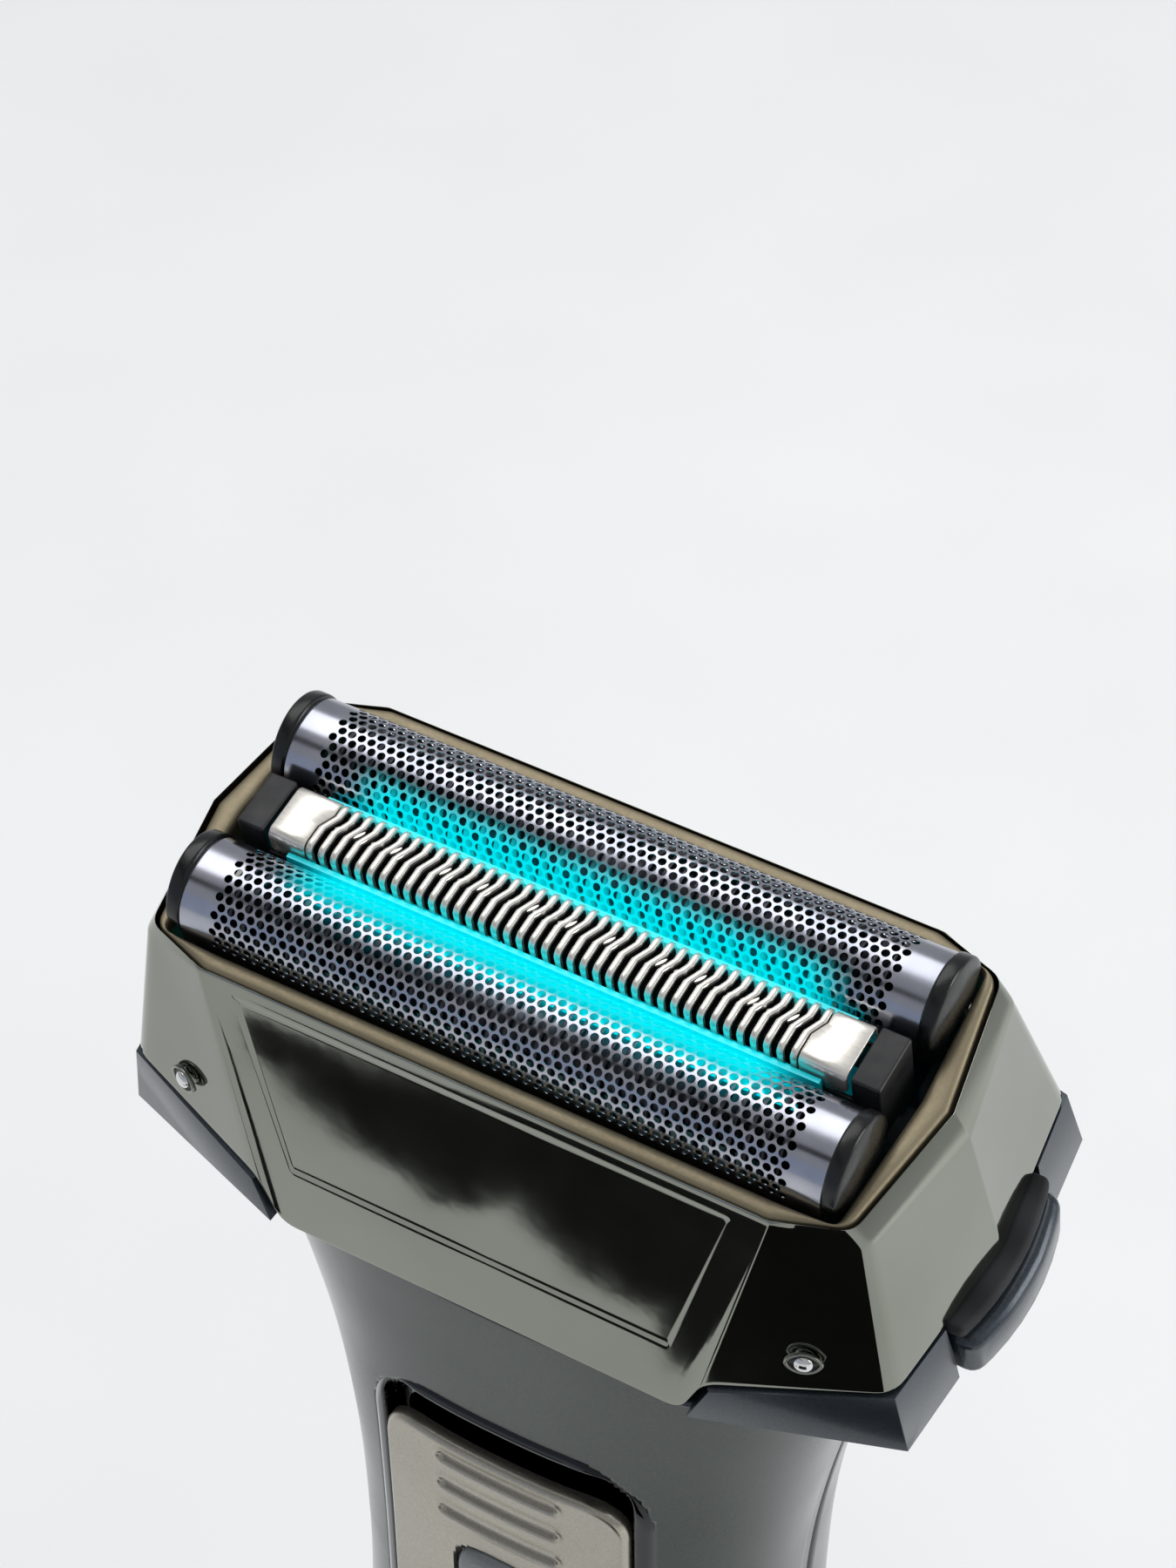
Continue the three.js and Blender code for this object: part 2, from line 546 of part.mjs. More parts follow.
function housing() {
  const outer = loft([SKIRT, RIDGE, LIP].map(fourWays), [-12, 0]);
  const roof = -RING_DEPTH - GAP;
  const hollow = loft([inset(SKIRT, HOUSING_WALL, SKIRT[0][2] - 1),
    inset(between(SKIRT, RIDGE, roof), ROOF_WALL)].map(fourWays));
  const pocket = prism(flatOutline(inset(LIP, LIP_THICK)), "XY", -6, 1);
  let shell = outer.subtract(hollow).subtract(pocket);
  for (const [row, sy] of ROWS) {
    for (const [side, sx] of SIDES) {
      const seat = rod(domePoint(sx, sy, -DOME_PIN.sunk), domePoint(sx, sy, 2), DOME_PIN.seat, 14);
      shell = shell.subtract(seat);
      const foot = GAP / 2 - DOME_PIN.sunk;
      const pin = rod(domePoint(sx, sy, foot), domePoint(sx, sy, foot + DOME_PIN.length),
        DOME_PIN.radius, 12);
      inHead(`dome_pin_${row}_${side}`, pin, CHROME);
    }
  }
  inHead("head_housing", shell, GUNMETAL);
  const opening = ringOutline(RING_INNER_X, RING_INNER_CORNER_X, RING_INNER_Y,
    RING_INNER_RADIUS);
  const ring = prism(flatOutline(inset(LIP, LIP_THICK + RING_GAP)), "XY", -RING_DEPTH, 0)
    .subtract(prism(opening, "XY", -RING_DEPTH - 1, 1));
  inHead("foil_ring", ring, CHAMPAGNE);
}

// The plate inside the housing that carries the foils, the trimmer and the light guides.
function cassetteFrame() {
  const outer = inset(between(SKIRT, RIDGE, FRAME_HIGH), HOUSING_WALL + GAP);
  let frame = prism(flatOutline(outer), "XY", FRAME_LOW, FRAME_HIGH);
  // The inner blades stay on the drive, so they pass through these windows as it comes off.
  const window = BLADE_HALF + DRIVE_STROKE + GAP;
  for (const [, sy] of ROWS) {
    const [near, far] = [FOIL_Y - BLADE_R - SLIP, FOIL_Y + BLADE_R + SLIP];
    frame = frame.subtract(box(-window, window, Math.min(sy * near, sy * far),
      Math.max(sy * near, sy * far), FRAME_LOW - 1, FRAME_HIGH + 1));
  }
  frame = frame.subtract(box(-6, 6, -1.6, 1.6, FRAME_LOW - 1, FRAME_HIGH + 1));
  inHead("cassette_frame", frame, BLACK_SATIN);
}

// An arch in section: a half round on two straight legs, with or without a hollow.
function archShape(y, radius, top, bottom, wall = 0) {
  const rise = top - FOIL_AXIS_Z;
  const shape = new THREE.Shape();
  shape.moveTo(y + radius, bottom);
  shape.lineTo(y + radius, FOIL_AXIS_Z);
  shape.absellipse(y, FOIL_AXIS_Z, radius, rise, 0, Math.PI);
  shape.lineTo(y - radius, bottom);
  if (wall) {
    shape.lineTo(y - radius + wall, bottom);
    shape.lineTo(y - radius + wall, FOIL_AXIS_Z);
    shape.absellipse(y, FOIL_AXIS_Z, radius - wall, rise - wall, Math.PI, 0, true);
    shape.lineTo(y + radius - wall, bottom);
  }
  shape.closePath();
  return shape;
}

function foils() {
  const bottom = FOIL_AXIS_Z - FOIL_DEPTH;
  for (const [row, sy] of ROWS) {
    const y = sy * FOIL_Y;
    const sheet = archShape(y, FOIL_R, FOIL_AXIS_Z + FOIL_R, bottom, FOIL_WALL);
    inHead(`foil_${row}`, prism(sheet, "YZ", -FOIL_HALF, FOIL_HALF), STEEL);
    const cap = archShape(y, FOIL_R + CAP_SIDE, FOIL_AXIS_Z + FOIL_R + CAP_PROUD, bottom);
    for (const [side, sx] of SIDES) {
      const [from, to] = [FOIL_HALF + 0.1, FOIL_HALF + 0.1 + CAP_THICK].map((x) => sx * x);
      inHead(`foil_cap_${row}_${side}`, prism(cap, "YZ", from, to), BLACK_SATIN);
    }
  }
}

function lightGuides() {
  const near = COMB_HALF_WIDTH + SLIP;
  const far = FOIL_Y - FOIL_R - SLIP;
  for (const [row, sy] of ROWS) {
    const guide = box(-GUIDE_HALF, GUIDE_HALF, Math.min(sy * near, sy * far),
      Math.max(sy * near, sy * far), FRAME_HIGH + GAP, GUIDE_TOP);
    inHead(`light_guide_${row}`, guide, LIGHT);
  }
}

function centreTrimmer() {
  const w = COMB_HALF_WIDTH;
  const low = COMB_TOP - COMB_DROP;
  const comb = box(-COMB_HALF, COMB_HALF, -w, w, low, COMB_TOP)
    .subtract(box(-COMB_HALF - 1, COMB_HALF + 1, COMB_WALL - w, w - COMB_WALL,
      low - 1, COMB_TOP - COMB_WALL));
  inHead("trimmer_comb", comb, STEEL);
  const blockStart = COMB_HALF + GAP;
  const blockEnd = blockStart + BLOCK_LENGTH;
  const railTop = low - GAP;
  const railLow = railTop - 3.2;
  const frame = box(-blockEnd, blockEnd, -w, w, railLow, COMB_TOP - 0.05)
    .subtract(box(-blockStart, blockStart, -w - 1, w + 1, railTop, COMB_TOP + 1))
    .subtract(box(-blockStart, blockStart, COMB_WALL - w, w - COMB_WALL, railLow - 1, COMB_TOP));
  inHead("trimmer_frame", frame, BLACK_SATIN);
  const half = COMB_HALF - DRIVE_STROKE - 0.5;
  const bodyLow = -4.0;
  const inner = w - COMB_WALL - GAP;
  let cutter = box(-half, half, -inner, inner, 0.2, COMB_TOP - COMB_WALL - GAP)
    .add(box(-4, 4, -1.2, 1.2, bodyLow, 0.3));
  for (const [, sx] of SIDES) {
    const [a, b] = [YOKE_PIN_R + 0.12, YOKE_PIN_R + 1.3].map((x) => sx * x);
    cutter = cutter.add(box(Math.min(a, b), Math.max(a, b), -1.0, 1.0, -7.9, bodyLow + 0.1));
  }
  inHead("trimmer_cutter", cutter, STEEL);
}

function innerBlades() {
  for (const [row, sy] of ROWS) {
    const y = sy * FOIL_Y;
    const arch = archShape(y, BLADE_R, FOIL_AXIS_Z + BLADE_R, -1.2, BLADE_WALL);
    inHead(`inner_blade_${row}`, prism(arch, "YZ", -BLADE_HALF, BLADE_HALF), STEEL);
    const top = -1.2 - GAP;
    const holder = box(-HOLDER.half, HOLDER.half, y - HOLDER.halfY, y + HOLDER.halfY,
      HOLDER.low, top);
    inHead(`blade_holder_${row}`, holder, NYLON);
    const spring = coil(0, y, YOKE.high + GAP, HOLDER.low - GAP, BLADE_SPRING);
    inHead(`blade_spring_${row}`, spring, STEEL);
  }
}

function driveYoke() {
  const at = (z) => new THREE.Vector3(0, 0, z);
  const yoke = box(-YOKE.half, YOKE.half, -YOKE.halfY, YOKE.halfY, YOKE.low, YOKE.high)
    .subtract(box(4, YOKE.half - 3, -3.4, 3.4, YOKE.low - 1, YOKE.high + 1))
    .subtract(box(3 - YOKE.half, -4, -3.4, 3.4, YOKE.low - 1, YOKE.high + 1));
  const pins = rod(at(YOKE.high - 0.5), at(-5.9), YOKE_PIN_R, 10)
    .add(rod(at(SHAFT_BOTTOM), at(YOKE.low + 0.5), SHAFT_R, 14));
  inHead("drive_yoke", yoke.add(pins), NYLON);
}

function headBase() {
  const collarOutline = roundedOutline(COLLAR.halfX, -COLLAR.halfY, COLLAR.halfY, COLLAR.radius);
  let base = loft([BASE_LOW, BASE_HIGH].map(fourWays), [null, -17])
    .add(prism(collarOutline, "XY", -19, COLLAR.top))
    .subtract(box(-SHAFT_R - DRIVE_STROKE - 0.8, SHAFT_R + DRIVE_STROKE + 0.8, -3, 3, -22, -12));
  for (const [side, sx] of SIDES) {
    const well = [BUTTON_WELL, BUTTON.outer + 2].map((x) => sx * x);
    base = base.subtract(box(Math.min(...well), Math.max(...well), -BUTTON.halfY - GAP,
      BUTTON.halfY + GAP, -22, COLLAR.top + 1));
    const z = (BUTTON.low + BUTTON.split) / 2;
    const at = (x) => new THREE.Vector3(sx * x, 0, z);
    const springEnd = BUTTON.inner - GAP;
    const boreEnd = springEnd - BUTTON_SPRING.length - BUTTON_TRAVEL - 0.5;
    base = base.subtract(rod(at(boreEnd), at(BUTTON_WELL + 1),
      BUTTON_SPRING.radius + BUTTON_SPRING.wire + GAP, 14));
    releaseButton(side, sx, z);
  }
  inHead("head_base", base, BAND_BLUE);
  const seal = loft([SEAL.low, SEAL.high].map((z) => superellipse(SEAL.halfX, SEAL.halfY, z)))
    .subtract(loft([SEAL.low - 1, SEAL.high + 1].map((z) =>
      superellipse(SEAL.halfX - SEAL.wall, SEAL.halfY - SEAL.wall, z))));
  inHead("neck_seal", seal, RUBBER);
}

// A release button: a grey body with a bowed face, a rubber pad on top, and its spring.
function releaseButton(side, sx, z) {
  const bow = (inner, outer, drop) => {
    const shape = new THREE.Shape();
    const points = [[inner, -BUTTON.halfY]];
    for (let i = 0; i <= 8; i += 1) {
      const y = BUTTON.halfY * (i / 4 - 1);
      points.push([outer - drop * (y / BUTTON.halfY) ** 2, y]);
    }
    points.push([inner, BUTTON.halfY]);
    const placed = points.map(([x, y]) => new THREE.Vector2(sx * x, y));
    return shape.setFromPoints(sx > 0 ? placed : placed.reverse());
  };
  const body = prism(bow(BUTTON.inner, BUTTON.outer, 1.0), "XY", BUTTON.low, BUTTON.split);
  inHead(`release_button_${side}`, body, BAND_BLUE);
  const pad = prism(bow(BUTTON.inner + 0.6, BUTTON.outer - 0.9, 0.9), "XY",
    BUTTON.split + GAP, BUTTON.top);
  inHead(`release_pad_${side}`, pad, RUBBER);
  const length = BUTTON_SPRING.length;
  const upright = meshFrom("spring", coil(0, 0, 0, length, BUTTON_SPRING), STEEL);
  upright.geometry.rotateY((sx * Math.PI) / 2);
  upright.geometry.translate(sx * (BUTTON.inner - GAP - length), 0, z);
  inHead(`button_spring_${side}`, solidFrom(upright.geometry), STEEL);
}

bodyShells();
baseCap();
inlet();
insides();
powerSwitch();
popupTrimmer();
headBase();
housing();
cassetteFrame();
foils();
lightGuides();
centreTrimmer();
innerBlades();
driveYoke();

export default group;
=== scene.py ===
# %% [markdown]
# # A foil shaver, seen from above its head
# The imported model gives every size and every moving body. This script keeps those
# bodies and builds the surfaces that the eye judges: sheets full of holes, kinked comb
# bars, plated housings with soft edges, painted shells, rubber and lit plastic.

# %% Frame
import json
import math

import bmesh
import bpy
import numpy as np
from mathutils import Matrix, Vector


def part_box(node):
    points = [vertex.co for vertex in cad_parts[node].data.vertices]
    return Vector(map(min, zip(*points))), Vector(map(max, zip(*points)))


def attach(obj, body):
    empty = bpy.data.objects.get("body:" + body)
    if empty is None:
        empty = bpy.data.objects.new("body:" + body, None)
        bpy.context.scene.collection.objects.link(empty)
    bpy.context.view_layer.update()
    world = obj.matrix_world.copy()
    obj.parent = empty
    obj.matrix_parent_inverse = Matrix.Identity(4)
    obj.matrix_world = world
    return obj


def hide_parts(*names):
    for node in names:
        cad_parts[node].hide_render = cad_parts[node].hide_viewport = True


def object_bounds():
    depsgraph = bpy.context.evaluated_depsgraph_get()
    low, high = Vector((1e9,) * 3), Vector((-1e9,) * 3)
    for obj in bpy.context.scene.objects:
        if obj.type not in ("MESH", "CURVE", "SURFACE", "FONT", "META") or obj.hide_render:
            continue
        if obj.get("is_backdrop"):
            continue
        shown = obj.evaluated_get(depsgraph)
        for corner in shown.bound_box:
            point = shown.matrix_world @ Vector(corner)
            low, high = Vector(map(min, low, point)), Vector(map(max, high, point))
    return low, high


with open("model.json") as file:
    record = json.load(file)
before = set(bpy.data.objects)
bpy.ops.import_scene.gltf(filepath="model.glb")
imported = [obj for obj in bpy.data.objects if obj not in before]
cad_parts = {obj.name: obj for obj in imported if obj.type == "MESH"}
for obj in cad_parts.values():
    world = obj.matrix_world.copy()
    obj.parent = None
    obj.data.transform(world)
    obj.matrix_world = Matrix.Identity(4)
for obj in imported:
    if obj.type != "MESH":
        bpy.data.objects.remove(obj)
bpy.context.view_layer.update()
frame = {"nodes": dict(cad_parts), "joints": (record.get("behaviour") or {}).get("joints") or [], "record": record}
MM = 0.001
ROWS = (("front", -1), ("rear", 1))
HANDS = (("left", -1), ("right", 1))


def link_new(name, data):
    """An object for some data, put in the scene."""
    obj = bpy.data.objects.new(name, data)
    bpy.context.scene.collection.objects.link(obj)
    return obj


# %% [markdown]
# ## The leaning head
# The head leans over the switch side, so its pieces are easiest to draw in a frame of
# their own: X along the foils, Z out of the head, zero at the top of the ring. The
# slide that lifts the cassette off gives the direction, the ring gives the zero.

# %% Head frame
joints = {joint["name"]: joint for joint in frame["joints"]}
HEAD_UP = np.array(joints["cassette_lift"]["axis"], float)
HEAD_UP /= np.linalg.norm(HEAD_UP)
HEAD_X = np.array([1.0, 0.0, 0.0])
HEAD_Y = np.cross(HEAD_UP, HEAD_X)
HEAD_AXES = np.stack([HEAD_X, HEAD_Y, HEAD_UP])
HEAD_LEAN = math.atan2(-HEAD_UP[1], HEAD_UP[2])


def corners(node):
    """All the corners of a model node, in millimetres, as rows of x, y, z."""
    mesh = frame["nodes"][node].data
    flat = np.zeros(len(mesh.vertices) * 3)
    mesh.vertices.foreach_get("co", flat)
    return flat.reshape(-1, 3) / MM


def head_span(node):
    """Lowest and highest head coordinates of a node, measured along the head's axes."""
    local = corners(node) @ HEAD_AXES.T - HEAD_ORIGIN_LOCAL
    return local.min(0), local.max(0)


HEAD_ORIGIN_LOCAL = np.zeros(3)
ring_low, ring_high = head_span("foil_ring")
HEAD_ORIGIN_LOCAL = np.array([0.0, (ring_low[1] + ring_high[1]) / 2, ring_high[2]])
HEAD_ORIGIN = HEAD_Y * HEAD_ORIGIN_LOCAL[1] + HEAD_UP * HEAD_ORIGIN_LOCAL[2]
foil_low, foil_high = head_span("foil_rear")
FOIL_HALF = foil_high[0]
FOIL_Y = (foil_low[1] + foil_high[1]) / 2
FOIL_R = (foil_high[1] - foil_low[1]) / 2
FOIL_AXIS_Z = foil_high[2] - FOIL_R
FOIL_SIDE = FOIL_Y + FOIL_R
print("foil: half length", round(FOIL_HALF, 2), "radius", round(FOIL_R, 2))


def from_head(points):
    """Head millimetres to row metres: origin plus x, y and z along the head's axes."""
    return (points @ HEAD_AXES + HEAD_ORIGIN) * MM


def from_row(points):
    """Row millimetres to metres."""
    return points * MM


# %% [markdown]
# ## Camera
# A long lens looks down on the head over the switch side's right shoulder, and the
# handle runs out of the bottom of the picture.

# %% Camera
CAMERA_AT = np.array([80.35, -137.7, 314.04])
CAMERA_BACK = np.array([0.3702, -0.6281, 0.6845])
camera_data = bpy.data.cameras.new("camera")
camera_data.lens = 84.78
camera_data.sensor_width = 36.0
camera_data.clip_start = 0.01
camera_data.clip_end = 20.0
camera = link_new("camera", camera_data)
camera.location = CAMERA_AT * MM
camera.rotation_mode = "QUATERNION"
camera.rotation_quaternion = Vector(-CAMERA_BACK).to_track_quat("-Z", "Y")
bpy.context.scene.camera = camera

# %% [markdown]
# ## Putting surfaces into meshes
# Nearly every piece here is a set of closed loops, one after the other, like the
# stations of a ship's hull. A corner in the station list is rounded with a short
# quadratic curve, so a plated edge catches a thin highlight.


# %% Mesh helpers
def make_object(name, points, faces):
    """An object from corner positions in metres and a list or array of faces."""
    mesh = bpy.data.meshes.new(name)
    mesh.from_pydata(points.reshape(-1, 3).tolist(), [], [list(map(int, f)) for f in faces])
    mesh.validate()
    return link_new(name, mesh)


def finish_mesh(obj, recalculate=True):
    """Joins corners that meet, turns faces outwards and shades them smooth."""
    work = bmesh.new()
    work.from_mesh(obj.data)
    bmesh.ops.remove_doubles(work, verts=work.verts, dist=2e-7)
    if recalculate:
        bmesh.ops.recalc_face_normals(work, faces=work.faces)
    for face in work.faces:
        face.smooth = True
    work.to_mesh(obj.data)
    work.free()
    return obj


def grid_faces(rows, columns, wrap_rows=False, wrap_columns=True):
    """Four-cornered faces between neighbours on a grid, joined round where it wraps."""
    r = np.arange(rows if wrap_rows else rows - 1)
    c = np.arange(columns if wrap_columns else columns - 1)
    r, c = np.meshgrid(r, c, indexing="ij")
    r2, c2 = (r + 1) % rows, (c + 1) % columns
    quads = [r * columns + c, r * columns + c2, r2 * columns + c2, r2 * columns + c]
    return np.stack(quads, -1).reshape(-1, 4)


def corner_arms(points, k, radius):
    """Where a path leaves corner k to round it, and where it joins its run again."""
    here = points[k]
    if k in (0, len(points) - 1) or np.all(radius == 0):
        return here, here
    arms = []
    for other in (points[k - 1], points[k + 1]):
        way = other - here
        length = np.linalg.norm(way, axis=-1, keepdims=True) + 1e-9
        arms.append(here + way / length * np.minimum(radius, 0.45 * length))
    return arms


def bent(first, corner, last, t):
    """A quadratic curve from first to last, with the corner as its control point."""
    return (1 - t) ** 2 * first + 2 * t * (1 - t) * corner + t ** 2 * last


def round_corners(stations, radii, samples):
    """Stations (K, N, 3) carried to smooth rows (M, N, 3). At station k with radius r
    the path leaves the corner r early and joins r late, along a quadratic curve."""
    rows = []
    for k, corner in enumerate(stations):
        first, last = corner_arms(stations, k, radii[k])
        steps = [0.0] if first is last else np.linspace(0, 1, samples)
        rows += [bent(first, corner, last, t) for t in steps]
    return np.array(rows)


def loft(name, rows, place, closed_profile=False):
    """A surface through rows of points. A closed profile joins the last row to the
    first, as on a ring; otherwise each end is closed with one flat face."""
    count, around = rows.shape[:2]
    faces = grid_faces(count, around, wrap_rows=closed_profile).tolist()
    if not closed_profile:
        faces.append(list(range(around))[::-1])
        faces.append([(count - 1) * around + i for i in range(around)])
    return finish_mesh(make_object(name, place(rows), faces))


def four_ways(quarter):
    """A quarter outline from front middle to right middle, mirrored all round."""
    flip_y, flip_x = np.array([1, -1, 1]), np.array([-1, 1, 1])
    right = np.concatenate([quarter, (quarter * flip_y)[::-1][1:]])
    return np.concatenate([right, (right * flip_x)[::-1][1:-1]])


def crisp(obj, degrees):
    """Keeps the edges that turn by more than an angle sharp in the shading."""
    obj.data.set_sharp_from_angle(angle=math.radians(degrees))


def stand_for(obj, body, slot, *nodes, material=None):
    """Gives a new piece its body and its slot's finish, or another one if it is given,
    and hides the model nodes it stands for."""
    obj.data.materials.clear()
    obj.data.materials.append(material or FINISH[slot])
    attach(obj, body)
    if nodes:
        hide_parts(*nodes)
    return obj


# %% [markdown]
# ## Finishes
# Each finish starts from the real process. Colours are given as sRGB hex and turned
# linear. Every pattern is driven by Object coordinates, which are metres here, so a
# scale of 1 / pitch gives a pattern of that pitch.


# %% Material helpers
def linear(code):
    """sRGB hex to linear red, green, blue and alpha."""
    parts = [int(code[i:i + 2], 16) / 255 for i in (1, 3, 5)]
    return (*[p / 12.92 if p <= 0.04045 else ((p + 0.055) / 1.055) ** 2.4 for p in parts], 1.0)


def add(tree, kind, settings=None, **inputs):
    """One node: settings are its properties, inputs are values or sockets to link."""
    node = tree.nodes.new(kind)
    for key, value in (settings or {}).items():
        setattr(node, key, value)
    for key, value in inputs.items():
        socket = node.inputs[int(key[1:]) if key[1:].isdigit() else key.replace("_", " ")]
        if isinstance(value, bpy.types.NodeSocket):
            tree.links.new(value, socket)
        else:
            socket.default_value = value
    return node


def surface(name, color, **values):
    """A material with one shader; returns it with its tree, shader and coordinates."""
    material = bpy.data.materials.new(name)
    material.use_nodes = True
    tree = material.node_tree
    shader = tree.nodes["Principled BSDF"]
    shader.inputs["Base Color"].default_value = linear(color)
    for key, value in values.items():
        shader.inputs[key.replace("_", " ")].default_value = value
    where = add(tree, "ShaderNodeTexCoord").outputs["Object"]
    return material, tree, shader, where


def mottle(tree, where, pitch_mm, low, high, detail=2.0, stretch=(1, 1, 1)):
    """Soft noise between two values, its blotches about pitch_mm across."""
    turned = add(tree, "ShaderNodeMapping", Vector=where, Scale=stretch).outputs[0]
    noise = add(tree, "ShaderNodeTexNoise", Vector=turned, Scale=1 / (pitch_mm * MM),
                Detail=detail, Roughness=0.55)
    spread = add(tree, "ShaderNodeMapRange", Value=noise.outputs["Fac"], i1=0.3, i2=0.7,
                 i3=low, i4=high)
    return spread.outputs[0]


def tint(tree, factor, first, second):
    """A colour between two hex colours."""
    mix = add(tree, "ShaderNodeMix", {"data_type": "RGBA"}, i0=factor, i6=linear(first),
              i7=linear(second))
    return mix.outputs[2]


def relief(tree, shader, height, strength, depth_mm):
    """Bump from a height, depth_mm high at full strength."""
    bump = add(tree, "ShaderNodeBump", Strength=strength, Distance=depth_mm * MM, Height=height)
    tree.links.new(bump.outputs["Normal"], shader.inputs["Normal"])


def pattern(made, colors, color_mm, gloss=None, gloss_mm=0, bump=None, detail=2.0):
    """Mottles a surface's colour between two hex colours and its gloss between two
    values, and adds a bump given as its pitch in mm, strength and depth in mm."""
    material, tree, shader, where = made
    if colors:
        tree.links.new(tint(tree, mottle(tree, where, color_mm, 0, 1, detail), *colors),
                       shader.inputs["Base Color"])
    if gloss:
        tree.links.new(mottle(tree, where, gloss_mm, *gloss), shader.inputs["Roughness"])
    if bump:
        relief(tree, shader, mottle(tree, where, bump[0], 0, 1), *bump[1:])
    return material


# %% [markdown]
# ### Metals
# The foil is electroformed nickel: a mirror at heart, softened by its making. The comb
# bars are ground stainless steel, the housing is plastic with a vapour-plated gunmetal
# skin, and the ring is satin anodised aluminium.


# %% Metal finishes
def metal_with_painted_glow(name, dark, light, roughness, painted_glow_strength):
    """A metal with painted light from the valleys: where the stored painted glow is strong
    its own reflection gives way to a painted teal colour and a cyan glow, though it is no lamp."""
    material, tree, shader, where = surface(name, dark, Metallic=1.0)
    tree.links.new(mottle(tree, where, 1.6, *roughness, stretch=(0.25, 1, 1)),
                   shader.inputs["Roughness"])
    # Painted light: where this stored glow is strong, the base colour turns dark teal and the surface emits cyan,
    # though the metal is no lamp.
    glow = add(tree, "ShaderNodeAttribute", {"attribute_name": "painted_valley_glow"}).outputs["Fac"]
    metal = tint(tree, mottle(tree, where, 3.0, 0, 1), dark, light)
    own = add(tree, "ShaderNodeMix", {"data_type": "RGBA"}, i0=glow, i6=metal,
              i7=linear("#003A40"))
    tree.links.new(own.outputs[2], shader.inputs["Base Color"])
    strength = add(tree, "ShaderNodeMath", {"operation": "MULTIPLY"}, i0=glow,
                   i1=painted_glow_strength)
    shader.inputs["Emission Color"].default_value = linear(GLOW_COLOR)
    tree.links.new(strength.outputs[0], shader.inputs["Emission Strength"])
    return material


def ground_steel(name="ground_stainless_steel", color="#F6F1E9", roughness=(0.26, 0.38)):
    """Fine grinding marks run along the foils."""
    material, tree, shader, where = surface(name, color, Metallic=0.85, Roughness=0.35)
    streak = mottle(tree, where, 0.12, *roughness, stretch=(0.08, 1, 1))
    tree.links.new(streak, shader.inputs["Roughness"])
    relief(tree, shader, streak, 0.15, 0.02)
    return material


def gunmetal_plating():
    """Vapour-plated skin: a warm grey-green mirror with the faintest orange peel."""
    made = surface("gunmetal_vapour_plating", "#8C8E85", Metallic=1.0, Roughness=0.05)
    return pattern(made, ("#898B81", "#92948B"), 14, (0.035, 0.07), 5, (2.5, 0.02, 0.05))


def champagne_anodised():
    """Bead-blasted and anodised aluminium, so its sheen has a fine grain."""
    made = surface("champagne_anodised_aluminium", "#978C74", Metallic=0.9, Roughness=0.5)
    return pattern(made, ("#938870", "#9D927A"), 6, (0.46, 0.56), 0.25, (0.12, 0.08, 0.02))


def bright_chrome(name="bright_chrome", color="#E4E4E2", roughness=0.05):
    """Electroplated chrome, with fine wear in its gloss."""
    made = surface(name, color, Metallic=1.0, Roughness=roughness)
    return pattern(made, None, 0, (roughness, roughness + 0.06), 1.5)


# %% [markdown]
# ### Paint, plastic and rubber
# Painted and moulded pieces differ in their gloss and grain. Metallic paint has a fine
# sparkle under a clear coat, moulded plastic a spark-eroded texture, rubber ribs. The
# list at the end says which finish each material slot of the model gets.


# %% Paint, plastic and rubber finishes
def metallic_paint(name, dark, light, roughness=0.32, metallic=0.75, coat=0.35):
    """Satin paint with metal flakes under a thin clear coat."""
    made = surface(name, dark, Metallic=metallic, Roughness=roughness, Coat_Weight=coat,
                   Coat_Roughness=0.12)
    return pattern(made, (dark, light), 0.18, (roughness - 0.04, roughness + 0.05), 8,
                   (0.15, 0.04, 0.02), detail=4)


def moulded(name, dark, light, roughness=0.45, grain_mm=0.2, depth=0.12):
    """Injection-moulded plastic: a spark-eroded grain that softens the gloss."""
    made = surface(name, dark, Roughness=roughness)
    return pattern(made, (dark, light), 4, (roughness - 0.05, roughness + 0.07), 1.2,
                   (grain_mm, depth, 0.02))


def black_chrome():
    """Dark plated plastic, all reflection and no colour."""
    made = surface("black_chrome", "#1B1E22", Metallic=1.0, Roughness=0.07, Coat_Weight=0.6)
    return pattern(made, None, 0, (0.05, 0.1), 4)


def ribbed_rubber():
    """Moulded rubber with ribs across the thumb's travel, 0.7 mm apart; their hollows are painted darker, as
    shade.
    """
    material, tree, shader, where = surface("ribbed_rubber", "#17181A", Roughness=0.7)
    wave = add(tree, "ShaderNodeTexWave", {"bands_direction": "Y"}, Vector=where,
               Scale=1 / (0.7 * MM) / 20, Distortion=0.4, Detail=1.0)
    # Painted shade: the colour follows the ribs' height, darker in the hollows and lighter on the tops.
    tree.links.new(tint(tree, wave.outputs["Fac"], "#101113", "#232527"),
                   shader.inputs["Base Color"])
    relief(tree, shader, wave.outputs["Fac"], 0.5, 0.12)
    return material


def lit_acrylic():
    """The light guide's top edge, lit from within."""
    material, tree, shader, where = surface("lit_acrylic", GLOW_COLOR, Roughness=0.2)
    shader.inputs["Emission Color"].default_value = linear(GLOW_COLOR)
    apart = add(tree, "ShaderNodeSeparateXYZ", Vector=where).outputs["X"]
    away = add(tree, "ShaderNodeMath", {"operation": "ABSOLUTE"}, i0=apart).outputs[0]
    fade = add(tree, "ShaderNodeMapRange", {"interpolation_type": "SMOOTHSTEP"}, Value=away,
               i1=0.0135, i2=0.0178, i3=GUIDE_STRENGTH, i4=0.0)
    tree.links.new(fade.outputs[0], shader.inputs["Emission Strength"])
    return material


